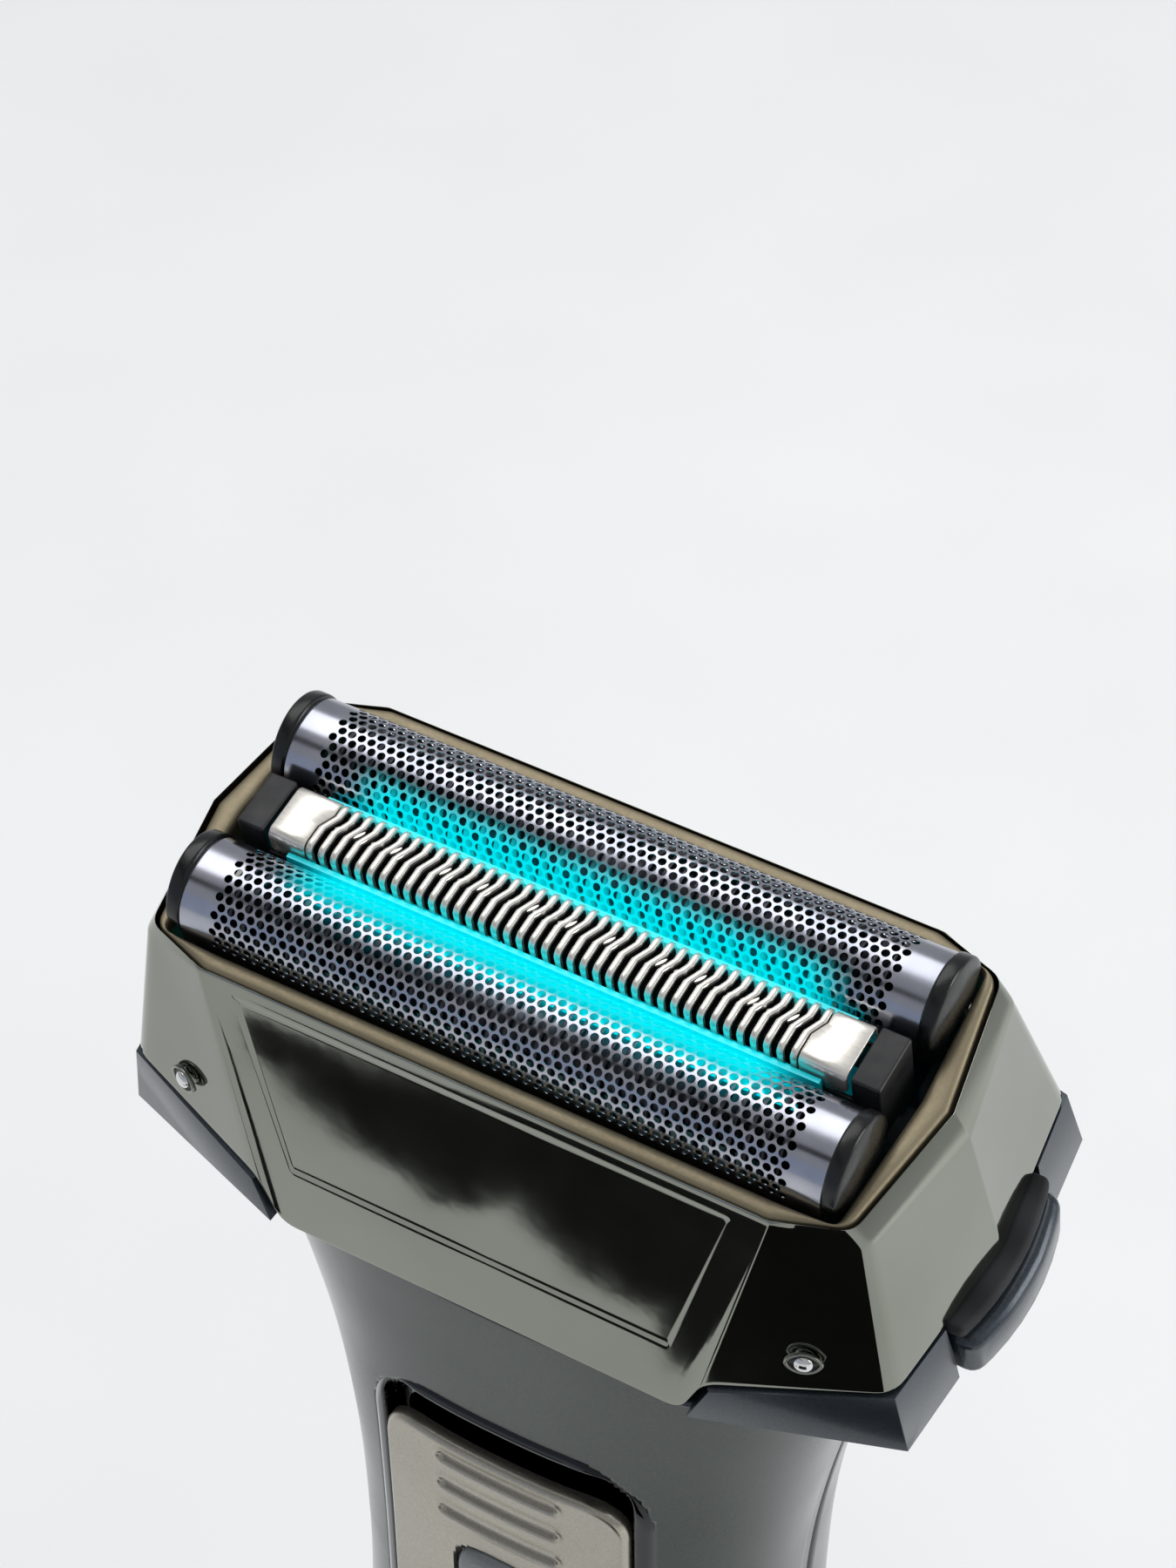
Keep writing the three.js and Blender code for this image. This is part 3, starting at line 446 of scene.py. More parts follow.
GLOW_COLOR = "#00E5F0"
GUIDE_STRENGTH = 0.345
# The inner blades' steel is painted dark, as shade under the foils, and carries the valleys' painted glow.
PAINTED_DARK_BLADE_STEEL = metal_with_painted_glow("cutter_steel_painted_shade", "#3A3B41", "#6A6B72", (0.3, 0.45), 0.75)
FINISH = {
    "foil_steel": metal_with_painted_glow("electroformed_nickel_painted_glow", "#A9ACB8", "#BCBDC6", (0.16, 0.24), 1.0),
    "comb_steel": ground_steel(),
    # The cutters' steel is painted near black, as shade under the foils and the comb.
    "cutter_steel": ground_steel("cutter_steel_painted_black_shade", "#0A0A0B", (0.5, 0.65)),
    "gunmetal_plate": gunmetal_plating(),
    "champagne_anodised": champagne_anodised(),
    "chrome": bright_chrome(),
    "spring_steel": bright_chrome("drawn_spring_wire", "#A9ABAD", 0.25),
    "brass": bright_chrome("plated_brass", "#C9A55C", 0.2),
    "motor_can": bright_chrome("zinc_plated_can", "#B4B7BA", 0.3),
    "band_blue": metallic_paint("band_satin_paint", "#30373E", "#3D454D", 0.28, 0.6, 0.35),
    "handle_paint": metallic_paint("handle_metallic_paint", "#373D3A", "#464C49", 0.24, 0.85, 0.3),
    "switch_plate_metal": metallic_paint("switch_satin_plating", "#A8A396", "#B9B4A8", 0.3,
                                         0.95, 0.1),
    "black_gloss": black_chrome(),
    "cap_black": moulded("satin_black_nylon", "#060607", "#0B0C0D", 0.27),
    "frame_black": moulded("black_acetal", "#111113", "#19191B", 0.45, 0.3),
    "popup_paint": moulded("dark_grey_abs", "#2B2E31", "#34383B", 0.4),
    "base_plastic": moulded("blue_grey_abs", "#3A4148", "#454C54", 0.4),
    "lock_grey": moulded("grey_satin_abs", "#6C7074", "#7A7E82", 0.3),
    "pad_rubber": ribbed_rubber(),
    "seal_rubber": moulded("seal_rubber", "#0D0E0F", "#151617", 0.75),
    "nylon": moulded("natural_acetal", "#D3D2CA", "#DEDDD6", 0.45),
    "board": moulded("solder_mask", "#1E5638", "#25653F", 0.35, 1.5, 0.3),
    "battery_wrap": moulded("shrink_wrap", "#2B5C99", "#3369A8", 0.25, 2.0, 0.1),
    "light_guide": lit_acrylic(),
}

# %% [markdown]
# ## Foils
# A shaving foil is a sheet of nickel a few hundredths thick, grown in a bath round
# resist dots, so its holes are part of the sheet. The sheet is drawn flat, as cells with
# a round hole each, and then bent over the arch. Every second row is shifted by half a
# cell. A cell's border has a corner wherever its neighbours have one, so nothing splits.

# %% Flat perforated sheet
HOLE_PITCH = 0.718
ROW_PITCH = 0.61
HOLE_RADIUS = 0.28
HOLES_ALONG = 56
HOLE_ROWS = 19
SHEET_THICK = 0.06
LEG = FOIL_AXIS_Z - foil_low[2]
ARC = math.pi * FOIL_R


def cell_border():
    """Twelve border points of a cell one by one, from its right middle: each is the
    partner of a hole corner 30 degrees further on."""
    steps = [(0.5, 0), (0.5, 0.5), (0.25, 0.5), (0, 0.5), (-0.25, 0.5), (-0.5, 0.5),
             (-0.5, 0), (-0.5, -0.5), (-0.25, -0.5), (0, -0.5), (0.25, -0.5), (0.5, -0.5)]
    return np.array(steps) * [HOLE_PITCH, ROW_PITCH]


def perforated_cells(middles):
    """Triangles (N, 3, 2) of cells with a 12-cornered hole, at the given middles."""
    turn = np.arange(12) * math.tau / 12
    hole = HOLE_RADIUS * np.stack([np.cos(turn), np.sin(turn)], -1)
    border = cell_border()
    after = np.roll(np.arange(12), -1)
    quads = np.stack([hole, border, border[after], hole[after]], 1)
    both = np.concatenate([quads[:, [0, 1, 2]], quads[:, [0, 2, 3]]])
    return (middles[:, None, None, :] + both[None]).reshape(-1, 3, 2)


def strip(x_values, s_values):
    """Triangles (N, 3, 2) of a plain grid over the given x and s values."""
    x, s = np.meshgrid(x_values, s_values, indexing="ij")
    a, b = np.stack([x, s], -1)[:-1, :-1], np.stack([x, s], -1)[1:, :-1]
    c, d = np.stack([x, s], -1)[1:, 1:], np.stack([x, s], -1)[:-1, 1:]
    return np.concatenate([np.stack([a, b, c], -2).reshape(-1, 3, 2),
                           np.stack([a, c, d], -2).reshape(-1, 3, 2)])


def flat_foil():
    """The whole sheet as triangles (N, 3, 2) in x along the foil and s along the arch,
    with s = 0 on its crest."""
    reach = HOLES_ALONG * HOLE_PITCH / 2
    rows = (np.arange(HOLE_ROWS) - (HOLE_ROWS - 1) / 2) * ROW_PITCH
    parts = []
    for number, s in enumerate(rows):
        shift = number % 2
        along = (np.arange(HOLES_ALONG - shift) + 0.5 + shift / 2) * HOLE_PITCH - reach
        parts.append(perforated_cells(np.stack([along, np.full(len(along), s)], -1)))
        levels = [s - ROW_PITCH / 2, s, s + ROW_PITCH / 2]
        for side in (-1, 1):
            edge = reach - shift * HOLE_PITCH / 2
            inner = np.array([edge, edge + HOLE_PITCH / 4, reach] if shift else [reach])
            xs = side * np.concatenate([inner, [reach + 0.9, FOIL_HALF]])
            parts.append(strip(xs[::side], levels))
    edge = HOLE_ROWS * ROW_PITCH / 2
    border = np.linspace(-reach, reach, 4 * HOLES_ALONG + 1)
    border = np.concatenate([[-FOIL_HALF, -reach - 0.9], border, [reach + 0.9, FOIL_HALF]])
    for s_values in ([-ARC / 2 - LEG, -edge], [edge, ARC / 2 + LEG]):
        parts.append(strip(border, s_values))
    return np.concatenate(parts)


def on_arch(x, s, depth, middle_y):
    """Bends the sheet: a half circle on two straight legs, depth below its outside."""
    angle = np.clip(s / FOIL_R, -math.pi / 2, math.pi / 2)
    below = np.maximum(np.abs(s) - ARC / 2, 0)
    radius = FOIL_R - depth
    y = middle_y + radius * np.sin(angle)
    z = FOIL_AXIS_Z + radius * np.cos(angle) - below
    return np.stack([x + 0 * y, y, z], -1)


def closed_sheet(triangles, bend, thickness):
    """Points and triangles of a sheet with two faces and a wall along every edge that
    belongs to one triangle only."""
    flat, index = np.unique(np.round(triangles.reshape(-1, 2), 4), axis=0,
                            return_inverse=True)
    faces = index.reshape(-1, 3)
    count = len(flat)
    points = np.concatenate([bend(flat[:, 0], flat[:, 1], 0.0),
                             bend(flat[:, 0], flat[:, 1], thickness)])
    edges = np.concatenate([faces[:, [0, 1]], faces[:, [1, 2]], faces[:, [2, 0]]])
    keys = edges[:, 0] * count + edges[:, 1]
    border = edges[~np.isin(keys, edges[:, 1] * count + edges[:, 0])]
    a, b = border.T
    wall = np.concatenate([np.stack([b, a, a + count], -1),
                           np.stack([b, a + count, b + count], -1)])
    return points, np.concatenate([faces, faces[:, ::-1] + count, wall])


# %% [markdown]
# The valleys between the foils are lit from below, and the light on the foils is painted:
# how much painted glow a point of the foil shows is worked out here and stored with the
# mesh: strong low on the inner slope, fading up the slope and towards the ends.

# %% Foils in place
LIT_HALF = 18.0
LIT_FADE = 3.5
LIT_FRONT = 4.35
LIT_REAR = 3.3
LIT_REACH = 1.6


def painted_valley_glow(points):
    """Smooth share of painted light: full up to LIT_FRONT mm from the middle in front and up to
    LIT_REAR mm behind, gone LIT_REACH mm further out, and fading over the last LIT_FADE
    mm of the light guides' length."""
    full = np.where(points[:, 1] > 0, LIT_REAR, LIT_FRONT)
    away = np.clip((np.abs(points[:, 1]) - full) / LIT_REACH, 0, 1)
    end = np.clip((LIT_HALF - np.abs(points[:, 0])) / LIT_FADE, 0, 1)
    end = end * end * (3 - 2 * end)
    return (1 - away * away * (3 - 2 * away)) * end


def store_painted_glow(obj):
    """Keeps the painted glow at each corner of a piece's mesh as an attribute."""
    placed = np.zeros(len(obj.data.vertices) * 3)
    obj.data.vertices.foreach_get("co", placed)
    local = (placed.reshape(-1, 3) / MM - HEAD_ORIGIN) @ HEAD_AXES.T
    glow = obj.data.attributes.new("painted_valley_glow", "FLOAT", "POINT")
    glow.data.foreach_set("value", painted_valley_glow(local))


for row, side in ROWS:
    points, faces = closed_sheet(
        flat_foil(), lambda x, s, depth: on_arch(x, s, depth, side * FOIL_Y), SHEET_THICK)
    foil = make_object(f"perforated_foil_{row}", from_head(points), faces)
    finish_mesh(foil)
    crisp(foil, 40)
    store_painted_glow(foil)
    stand_for(foil, f"foil_{row}", "foil_steel", f"foil_{row}")
    print(foil.name, len(foil.data.polygons), "triangles")

# %% [markdown]
# ## End caps of the foils
# Each foil is clipped at both ends into a black moulded cap, which stands a little proud
# of the metal so that the sheet's edge can't scratch. The cap is its arch outline, drawn
# out along X: full size over the rim, then shrinking round the shoulder into a domed end.

# %% End caps
CAP_PROUD = 0.37
CAP_SIDE = 0.08
CAP_BOTTOM = -1.3
CAP_STATIONS = [(0.0, 0.9), (0.02, 0.96), (0.1, 0.99), (0.22, 1.0), (0.85, 1.0),
                (0.95, 0.985), (1.03, 0.945), (1.08, 0.88), (1.17, 0.72), (1.26, 0.48),
                (1.3, 0.22), (1.31, 0.04)]


def cap_outline():
    """An arch: a half circle over two straight sides, closed along the bottom."""
    angle = np.linspace(0, math.pi, 28)
    y = (FOIL_R + CAP_SIDE) * np.cos(angle)
    z = FOIL_AXIS_Z + (FOIL_R + CAP_PROUD) * np.sin(angle)
    legs = np.linspace(FOIL_AXIS_Z, CAP_BOTTOM, 6)[1:]
    base = np.linspace(-1, 1, 7)[1:-1] * (FOIL_R + CAP_SIDE)
    y = np.concatenate([y, np.full(5, y[-1]), base, np.full(5, y[0])])
    z = np.concatenate([z, legs, np.full(5, CAP_BOTTOM), legs[::-1]])
    return np.stack([y, z], -1)


for row, side in ROWS:
    for hand, way in HANDS:
        outline = cap_outline()
        centre = np.array([0.0, 1.8])
        rows = []
        for x, share in CAP_STATIONS:
            flat = centre + share * (outline - centre)
            low = np.clip((0.9 - flat[:, 1]) / 0.9, 0, 1)
            flat[:, 0] *= 1 - 0.22 * low * min(1, x / 0.8)
            rows.append(np.stack([np.full(len(flat), way * (FOIL_HALF + x)),
                                  side * FOIL_Y + flat[:, 0], flat[:, 1]], -1))
        cap = loft(f"foil_end_cap_{row}_{hand}", np.array(rows), from_head)
        crisp(cap, 50)
        stand_for(cap, f"foil_{row}", "cap_black", f"foil_cap_{row}_{hand}")
print("end caps reach", round(FOIL_HALF + CAP_STATIONS[-1][0], 2), "mm along X")

# %% [markdown]
# ## Comb of the middle trimmer
# The trimmer's comb is one strip of steel, slit into kinked bars and folded down over
# both long edges. Each bar is its own path over the fold, with a rounded section; the
# kink is a sideways shift that depends on the place across the strip. Fine splinters lie
# in the gaps every few bars, and pick out hairs that lie flat.

# %% Comb bars
comb_low, comb_high = head_span("trimmer_comb")
COMB_HALF, COMB_WIDE = comb_high[0], comb_high[1]
COMB_TOP, COMB_LOW = comb_high[2], comb_low[2]
BAR_PITCH = 0.89
BAR_WIDTH = 0.42
BAR_COUNT = 39
BAR_THICK = 0.3
CROWN = 0.07
KINK = 0.52
FOLD = 0.62
SLIVER_PITCH = 3.1


def kink(y):
    """Sideways shift of a bar: none behind, KINK in front, a straight ramp between."""
    return -KINK * np.clip((0.84 - y) / 1.08, 0, 1)


def fold_path():
    """Path over the strip in y and z: up the rear leg, round a quarter, across the top,
    round again and down the front leg, with each point's outward direction."""
    turn = np.linspace(0, math.pi / 2, 6)
    rear = np.stack([COMB_WIDE - FOLD + FOLD * np.cos(turn),
                     COMB_TOP - FOLD + FOLD * np.sin(turn)], -1)
    rear_out = np.stack([np.cos(turn), np.sin(turn)], -1)
    across = np.array([1.15, 0.84, 0.66, 0.48, 0.3, 0.12, -0.06, -0.24, -0.7, -1.15])
    top = np.stack([across, np.full(len(across), COMB_TOP)], -1)
    up = np.tile([0.0, 1.0], (len(across), 1))
    leg = np.array([[COMB_WIDE, COMB_LOW], [COMB_WIDE, COMB_LOW + 0.12],
                    [COMB_WIDE, COMB_LOW + 0.4]])
    out = np.tile([1.0, 0.0], (3, 1))
    path = np.concatenate([leg, rear, top, rear[::-1] * [-1, 1], leg[::-1] * [-1, 1]])
    outward = np.concatenate([out, rear_out, up, rear_out[::-1] * [-1, 1], out * [-1, 1]])
    return path, outward


def folded_strip(left, right):
    """Rows of points of a strip that follows the fold, between the edges left(y) and
    right(y): six points across its outside, a little crowned, and two inside."""
    path, outward = fold_path()
    y = path[:, 0]
    tip = np.ones(len(y))
    tip[[0, -1]], tip[[1, -2]] = 0.45, 0.85
    a, b = left(y), right(y)
    middle, half = (a + b) / 2, (b - a) / 2 * tip
    soft = np.minimum(0.1, half)
    shares = [(-half, BAR_THICK), (-half, CROWN), (soft - half, 0), (half - soft, 0),
              (half, CROWN), (half, BAR_THICK)]
    rows = []
    for offset, depth in shares:
        place = path - outward * np.reshape(depth, (-1, 1))
        rows.append(np.concatenate([(middle + offset)[:, None], place], 1))
    return np.stack(rows, 1)


def solid_strips(name, strips, place):
    """Several strips in one object, each closed round its section and at both ends."""
    points, faces, first = [], [], 0
    for rows in strips:
        count, around = rows.shape[:2]
        faces += (grid_faces(count, around) + first).tolist()
        faces += [[first + i for i in range(around)][::-1],
                  [first + (count - 1) * around + i for i in range(around)]]
        points.append(rows.reshape(-1, 3))
        first += count * around
    return finish_mesh(make_object(name, place(np.concatenate(points)), faces))


def sliver(x_start, y_start):
    """Rows of a thin splinter between two bars, pointed at both ends, that runs forward
    and to the left."""
    share = np.linspace(0, 1, 7)[:, None]
    wide = 0.01 + 0.1 * np.sin(math.pi * share) ** 0.7
    x = x_start + kink(y_start) - 0.42 * share + np.array([[-1, 1, 1, -1]]) * wide
    y = y_start - 0.72 * share + np.zeros((1, 4))
    z = COMB_TOP - 0.04 - 0.2 * np.array([[0, 0, 1, 1]]) + 0 * share
    return np.stack([x, y, z], -1)[:, ::-1]


dice = np.random.default_rng(7)
strips = []
for number in range(BAR_COUNT):
    middle = (number - (BAR_COUNT - 1) / 2) * BAR_PITCH + KINK / 2
    barb = 0.16 * dice.random() * (dice.random() < 0.5)
    strips.append(folded_strip(
        lambda y: middle + kink(y) - BAR_WIDTH / 2 - barb * (np.abs(y - 0.12) < 0.07),
        lambda y: middle + kink(y) + BAR_WIDTH / 2 + 0.7 * barb * (np.abs(y - 0.3) < 0.07)))
for cluster in range(-5, 6):
    first_gap = (round(cluster * SLIVER_PITCH / BAR_PITCH) + 0.5) * BAR_PITCH + KINK / 2
    strips += [sliver(first_gap, 0.62), sliver(first_gap + 0.62, 0.2)]
plate_edge = BAR_COUNT / 2 * BAR_PITCH
strips.append(folded_strip(lambda y: 0 * y - COMB_HALF,
                           lambda y: kink(y) + KINK / 2 - plate_edge + 0.1))
strips.append(folded_strip(lambda y: kink(y) + KINK / 2 + plate_edge - 0.1,
                           lambda y: 0 * y + COMB_HALF))
comb = solid_strips("trimmer_comb_bars", strips, from_head)
crisp(comb, 50)
stand_for(comb, "trimmer", "comb_steel", "trimmer_comb")
print("comb bars:", BAR_COUNT, "and two end plates of", round(COMB_HALF - plate_edge, 2), "mm")

# %% [markdown]
# ## Outlines of the head
# The ring and the housing are both symmetrical, so a quarter of each outline is enough.
# All quarters have the same five corners in the same order: front middle, two corners
# where the long side turns, the corner of the short side, and the side's middle. A row
# of one outline then always has a partner in the next.

# %% Head outlines
RUNS = [[0.0, 0.2, 0.4, 0.6, 0.75, 0.86, 0.885, 0.89, 0.895, 0.9, 0.905, 0.91, 0.915, 0.94],
        [0.3, 0.6], [0.15, 0.3, 0.45, 0.6, 0.75, 0.9], [0.2, 0.4, 0.6, 0.8, 0.95, 0.99]]
PANEL_SIDE = 0.9


def head_quarter(corners_mm, radii=(0, 0.5, 0.5, 0.9, 0)):
    """A quarter outline through five corners, each rounded by its radius. It always has
    the same number of points: RUNS says where they fall along each straight run."""
    points = np.array(corners_mm, float)
    ends = [corner_arms(points, k, radii[k]) for k in range(len(points))]
    curve = np.linspace(0, 1, 6)[:, None]
    pieces = []
    for k, (first, last) in enumerate(ends):
        inside = 0 < k < len(points) - 1
        pieces.append(bent(first, points[k], last, curve) if inside else first[None])
        if k + 1 < len(points):
            t = np.array(RUNS[k])[:, None]
            pieces.append((1 - t) * last + t * ends[k + 1][0])
    return np.concatenate(pieces)


def side_x(x):
    return FOIL_HALF + x


def side_y(y):
    return -FOIL_SIDE - y


LIP = [[0, side_y(1.74), 0], [side_x(-2.8), side_y(1.74), 0], [side_x(-2.4), side_y(1.74), 0],
       [side_x(2.25), side_y(0.24), 0], [side_x(3.85), 0, 0]]
RIDGE = [[0, side_y(1.84), -0.25], [side_x(-2.6), side_y(1.84), -0.25],
         [side_x(-2.3), side_y(1.84), -0.25], [side_x(3.1), side_y(0.14), -1.6],
         [side_x(4.8), 0, -2]]
SKIRT = [[0, side_y(6.59), -19.85], [side_x(-7.56), side_y(6.59), -19.85],
         [side_x(-5.96), side_y(5.95), -16.25], [side_x(5.37), side_y(2.36), -13.78],
         [side_x(6.7), 0, -13.8]]
SKIRT_ROUND = (0, 1.1, 1.1, 1.2, 0)
OPENING = [[0, side_y(0.34), 0], [side_x(-3.2), side_y(0.34), 0],
           [side_x(-2.9), side_y(0.34), 0], [side_x(1.15), side_y(0.34), 0],
           [side_x(1.7), 0, 0]]


def level(quarter, z=None, grow=(0.0, 0.0)):
    """A quarter moved to one height, or left at its own, grown along X and along Y."""
    out = np.array(quarter, float)
    reach = np.abs(out[:, :2]).max(0)
    out[:, :2] *= (reach + grow) / reach
    if z is not None:
        out[:, 2] = z
    return out


# %% [markdown]
# ## Foil ring
# A satin anodised ring frames the foils. Its top is gently crowned, so it goes from light
# to dark across its width, and it ends in a black gap before the housing starts. The
# ring's section is a short list of places between the two outlines, joined to a loop.

# %% Foil ring
RING_GAP = (0.34, 0.1)


def ring_row(share, z):
    """A loop part of the way from the opening to the outer edge, at one height."""
    inner = head_quarter(level(OPENING, z), (0, 0.1, 0.1, 0.6, 0))
    outer = head_quarter(level(LIP, z, -np.array(RING_GAP)))
    return four_ways((1 - share) * inner + share * outer)


RING_SECTION = [(0, -4.0), (0, -0.5), (0.03, -0.3), (0.1, -0.14), (0.24, -0.04), (0.45, 0.0),
                (0.7, -0.03), (0.86, -0.11), (0.96, -0.24), (1, -0.42), (1, -4.0)]
ring_rows = np.array([ring_row(share, z) for share, z in RING_SECTION])
ring = loft("anodised_foil_ring", ring_rows, from_head, closed_profile=True)
crisp(ring, 60)
stand_for(ring, "cassette", "champagne_anodised", "foil_ring")
print("ring section of", len(ring_rows), "places")

# %% [markdown]
# ## Plated housing
# The housing is a tapered hood with flat facets, a sunk panel on each long side and a
# crisp ridge round the ring. It is moulded in plastic and vapour plated, so its edges are
# tiny radii that catch a line of light. The sunk panel is the long side pushed in, with
# grid lines crowded where its border falls.

# %% Housing
PANEL_DEPTH = 0.07
PANEL_TOP, PANEL_BOTTOM = 0.055, 0.725
FACE_ROWS = [0.03, 0.045, 0.05, 0.055, 0.06, 0.065, 0.08, 0.14, 0.24, 0.34, 0.44, 0.54, 0.63,
             0.7, 0.715, 0.72, 0.725, 0.73, 0.735, 0.75, 0.8, 0.86, 0.92, 0.97]
HOOD_WALL = 1.2


def step(value):
    """Smooth step: 0 below 0, 1 above 1, an S between."""
    value = np.clip(value, 0, 1)
    return value * value * (3 - 2 * value)


def long_side_share(count):
    """Each quarter point's place along the first straight run: 0 to 1, then above 1."""
    share = np.full(count, 2.0)
    share[0] = 0.0
    share[1:1 + len(RUNS[0])] = RUNS[0]
    return share


def face_row(v):
    """A loop on the housing's outside, v of the way from its ridge to its lower edge,
    with the sunk panel's depth taken off along Y."""
    ridge = head_quarter(RIDGE, (0, 0.12, 0.12, 0.7, 0))
    skirt = head_quarter(SKIRT, SKIRT_ROUND)
    row = (1 - v) * ridge + v * skirt
    share = long_side_share(len(row))
    sunk = step((PANEL_SIDE + 0.01 - share) / 0.02)
    sunk = sunk * step((v - PANEL_TOP + 0.01) / 0.02) * step((PANEL_BOTTOM + 0.01 - v) / 0.02)
    row[:, 1] += PANEL_DEPTH * sunk
    return four_ways(row)


def hood_rows():
    """The housing's section as loops: down the gap beside the ring, over the ridge, down
    the outside, round the lower edge and back up inside."""
    wall = (-HOOD_WALL, -HOOD_WALL)
    lip = four_ways(head_quarter(level(LIP, -0.06, (-0.04, -0.04))))
    lip_inside = four_ways(head_quarter(level(LIP, -4.6, (-0.04, -0.04))))
    hollow_top = four_ways(head_quarter(level(RIDGE, -5.0, wall)))
    hollow_low = head_quarter(level(SKIRT, None, wall), SKIRT_ROUND)
    side = step((np.abs(lip[:, :1]) - RIDGE[2][0]) / 4)
    stations = [lip_inside, lip, face_row(0)] + [face_row(v) for v in FACE_ROWS]
    stations += [face_row(1), four_ways(hollow_low), hollow_top]
    radii = [0, 0.08, 0.25 + 0.75 * side] + [0] * len(FACE_ROWS) + [0.25, 0.2, 0]
    return round_corners(stations, radii, samples=7)


hood = loft("plated_housing", hood_rows(), from_head, closed_profile=True)
crisp(hood, 38)
stand_for(hood, "cassette", "gunmetal_plate", "head_housing")
print(hood.name, len(hood.data.polygons), "faces")

# %% [markdown]
# ## Handle shells
# The handle is two painted shells that meet in a seam along both sides. Its sections are
# superellipses, rounder than a box and squarer than an oval, and near the neck they lean
# with the head. Sections between the stated ones follow a smooth cubic curve.

# %% Handle
HANDLE = np.array([[6.3, 16.2, 12.2, 0], [18, 16.9, 12.7, 0], [38.1, 17.5, 12.9, 0],
                   [57.8, 17.6, 12.9, 0], [76, 17.2, 12.8, 0], [91, 16.8, 12.8, 0],
                   [104, 17.5, 12.8, 0], [115, 19.3, 12.9, 0.2], [124, 21.6, 13.5, 0.55],
                   [133.04, 24.4, 14.4, 1.0]])
POWER = 2.5
SHELL_WALL = 1.4
FLAT_HALF = 11.6
SEAM = 0.15


def between_stations(z):
    """Half width, half depth and lean at heights z, on a cubic curve whose slope at each
    station is the mean slope of its two neighbours."""
    height = HANDLE[:, 0]
    slope = np.gradient(HANDLE[:, 1:], height, axis=0)
    z = np.clip(z, height[0], height[-1])
    i = np.clip(np.searchsorted(height, z, side="right") - 1, 0, len(height) - 2)
    span = (height[i + 1] - height[i])[..., None]
    t = ((z - height[i]) / (height[i + 1] - height[i]))[..., None]
    a, b = HANDLE[i, 1:], HANDLE[i + 1, 1:]
    value = ((2 * t ** 3 - 3 * t ** 2 + 1) * a + (t ** 3 - 2 * t ** 2 + t) * span * slope[i]
             + (3 * t ** 2 - 2 * t ** 3) * b + (t ** 3 - t ** 2) * span * slope[i + 1])
    return value[..., 0], value[..., 1], value[..., 2] * HEAD_LEAN


def on_skin(x, z, out):
    """The point straight in front of a place on the handle's middle plane, out mm from
    its skin."""
    station = np.array(z, float)
    for _ in range(3):
        half_x, half_y, lean = between_stations(station)
        flat = 1 - np.clip(np.abs(x) / (half_x + out), 0, 1) ** POWER
        y = -(half_y + out) * flat ** (1 / POWER)
        station = z - y * np.sin(lean)
    return np.stack(np.broadcast_arrays(x, y * np.cos(lean), z), -1)


def shell_rows(side):
    """Rows of a half section from its left seam to its right one: even steps of width
    over the middle, then even steps of angle round each side, where it turns fast."""
    fine = np.arange(83.0, 118.6, 0.4)
    z = np.concatenate([np.arange(HANDLE[0, 0], 83.0, 1.6), fine,
                        np.linspace(119, HANDLE[-1, 0], 12)])
    half_x, half_y, lean = between_stations(z)
    middle = np.arange(-FLAT_HALF, FLAT_HALF + 0.1, 0.4)
    start = np.arccos((FLAT_HALF / half_x) ** (POWER / 2))
    seam_angle = np.arcsin((SEAM / half_y) ** (POWER / 2))
    share = np.linspace(0, 1, 19)[1:]
    angle = start[:, None] + (seam_angle - start)[:, None] * share
    outer = half_x[:, None] * np.cos(angle) ** (2 / POWER)
    x = np.concatenate([-outer[:, ::-1], np.tile(middle, (len(z), 1)), outer], 1)
    flat = 1 - np.clip(np.abs(x) / half_x[:, None], 0, 1) ** POWER
    y = side * half_y[:, None] * flat ** (1 / POWER)
    turn = lean[:, None]
    return np.stack([x, y * np.cos(turn), z[:, None] + y * np.sin(turn)], -1)


def rounded_depth(x, z, half, low, high, top_radius, low_radius):
    """How far inside a rounded rectangle a place is: its distance to the outline, and
    negative outside. The two upper corners may be rounder than the lower ones."""
    middle = (low + high) / 2
    radius = np.where(z > middle, top_radius, low_radius)
    qx = np.abs(x) - (half - radius)
    qz = np.abs(z - middle) - ((high - low) / 2 - radius)
    outside = np.hypot(np.maximum(qx, 0), np.maximum(qz, 0))
    return radius - outside - np.minimum(np.maximum(qx, qz), 0)


def node_box(node):
    """Lowest and highest corner of a model node in millimetres."""
    low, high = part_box(node)
    return np.array(low) / MM, np.array(high) / MM


surround_low, surround_high = node_box("switch_surround")
SURROUND = (surround_high[0], surround_low[2], surround_high[2], 6.5, 3.0)
for row, side in ROWS:
    rows = shell_rows(side)
    count, across = rows.shape[:2]
    faces = grid_faces(count, across, wrap_columns=False)
    if row == "front":
        centre = rows.reshape(-1, 3)[faces].mean(1)
        inside = rounded_depth(centre[:, 0], centre[:, 2], *SURROUND) > 0.45
        faces = faces[~inside]
    else:
        faces = faces[:, ::-1]
    shell = make_object(f"painted_shell_{row}", from_row(rows), faces)
    finish_mesh(shell, recalculate=False)
    wall = shell.modifiers.new("wall", "SOLIDIFY")
    wall.thickness = SHELL_WALL * MM
    wall.offset = -1
    stand_for(shell, "handle", "handle_paint", f"body_{row}_shell")
    print(shell.name, len(faces), "faces")

# %% [markdown]
# ## Panels on the handle's skin
# The switch's surround, its sliding plate and its lock button are thin panels that follow
# the handle's skin. Each is a grid that fills a rounded rectangle, with a height above
# the skin worked out for every place, closed underneath by a second grid.


# %% Panel maker
def crowded(low, high, spacing, fine=()):
    """Even values from low to high with finer steps in the given (from, to, step) runs."""
    values = [np.linspace(low, high, max(2, int(round((high - low) / spacing)) + 1))]
    values += [np.arange(a, b, s) for a, b, s in fine]
    merged = np.unique(np.round(np.concatenate(values), 3))
    keep = np.concatenate([[True], np.diff(merged) > 0.04])
    return merged[keep & (merged >= low) & (merged <= high)]


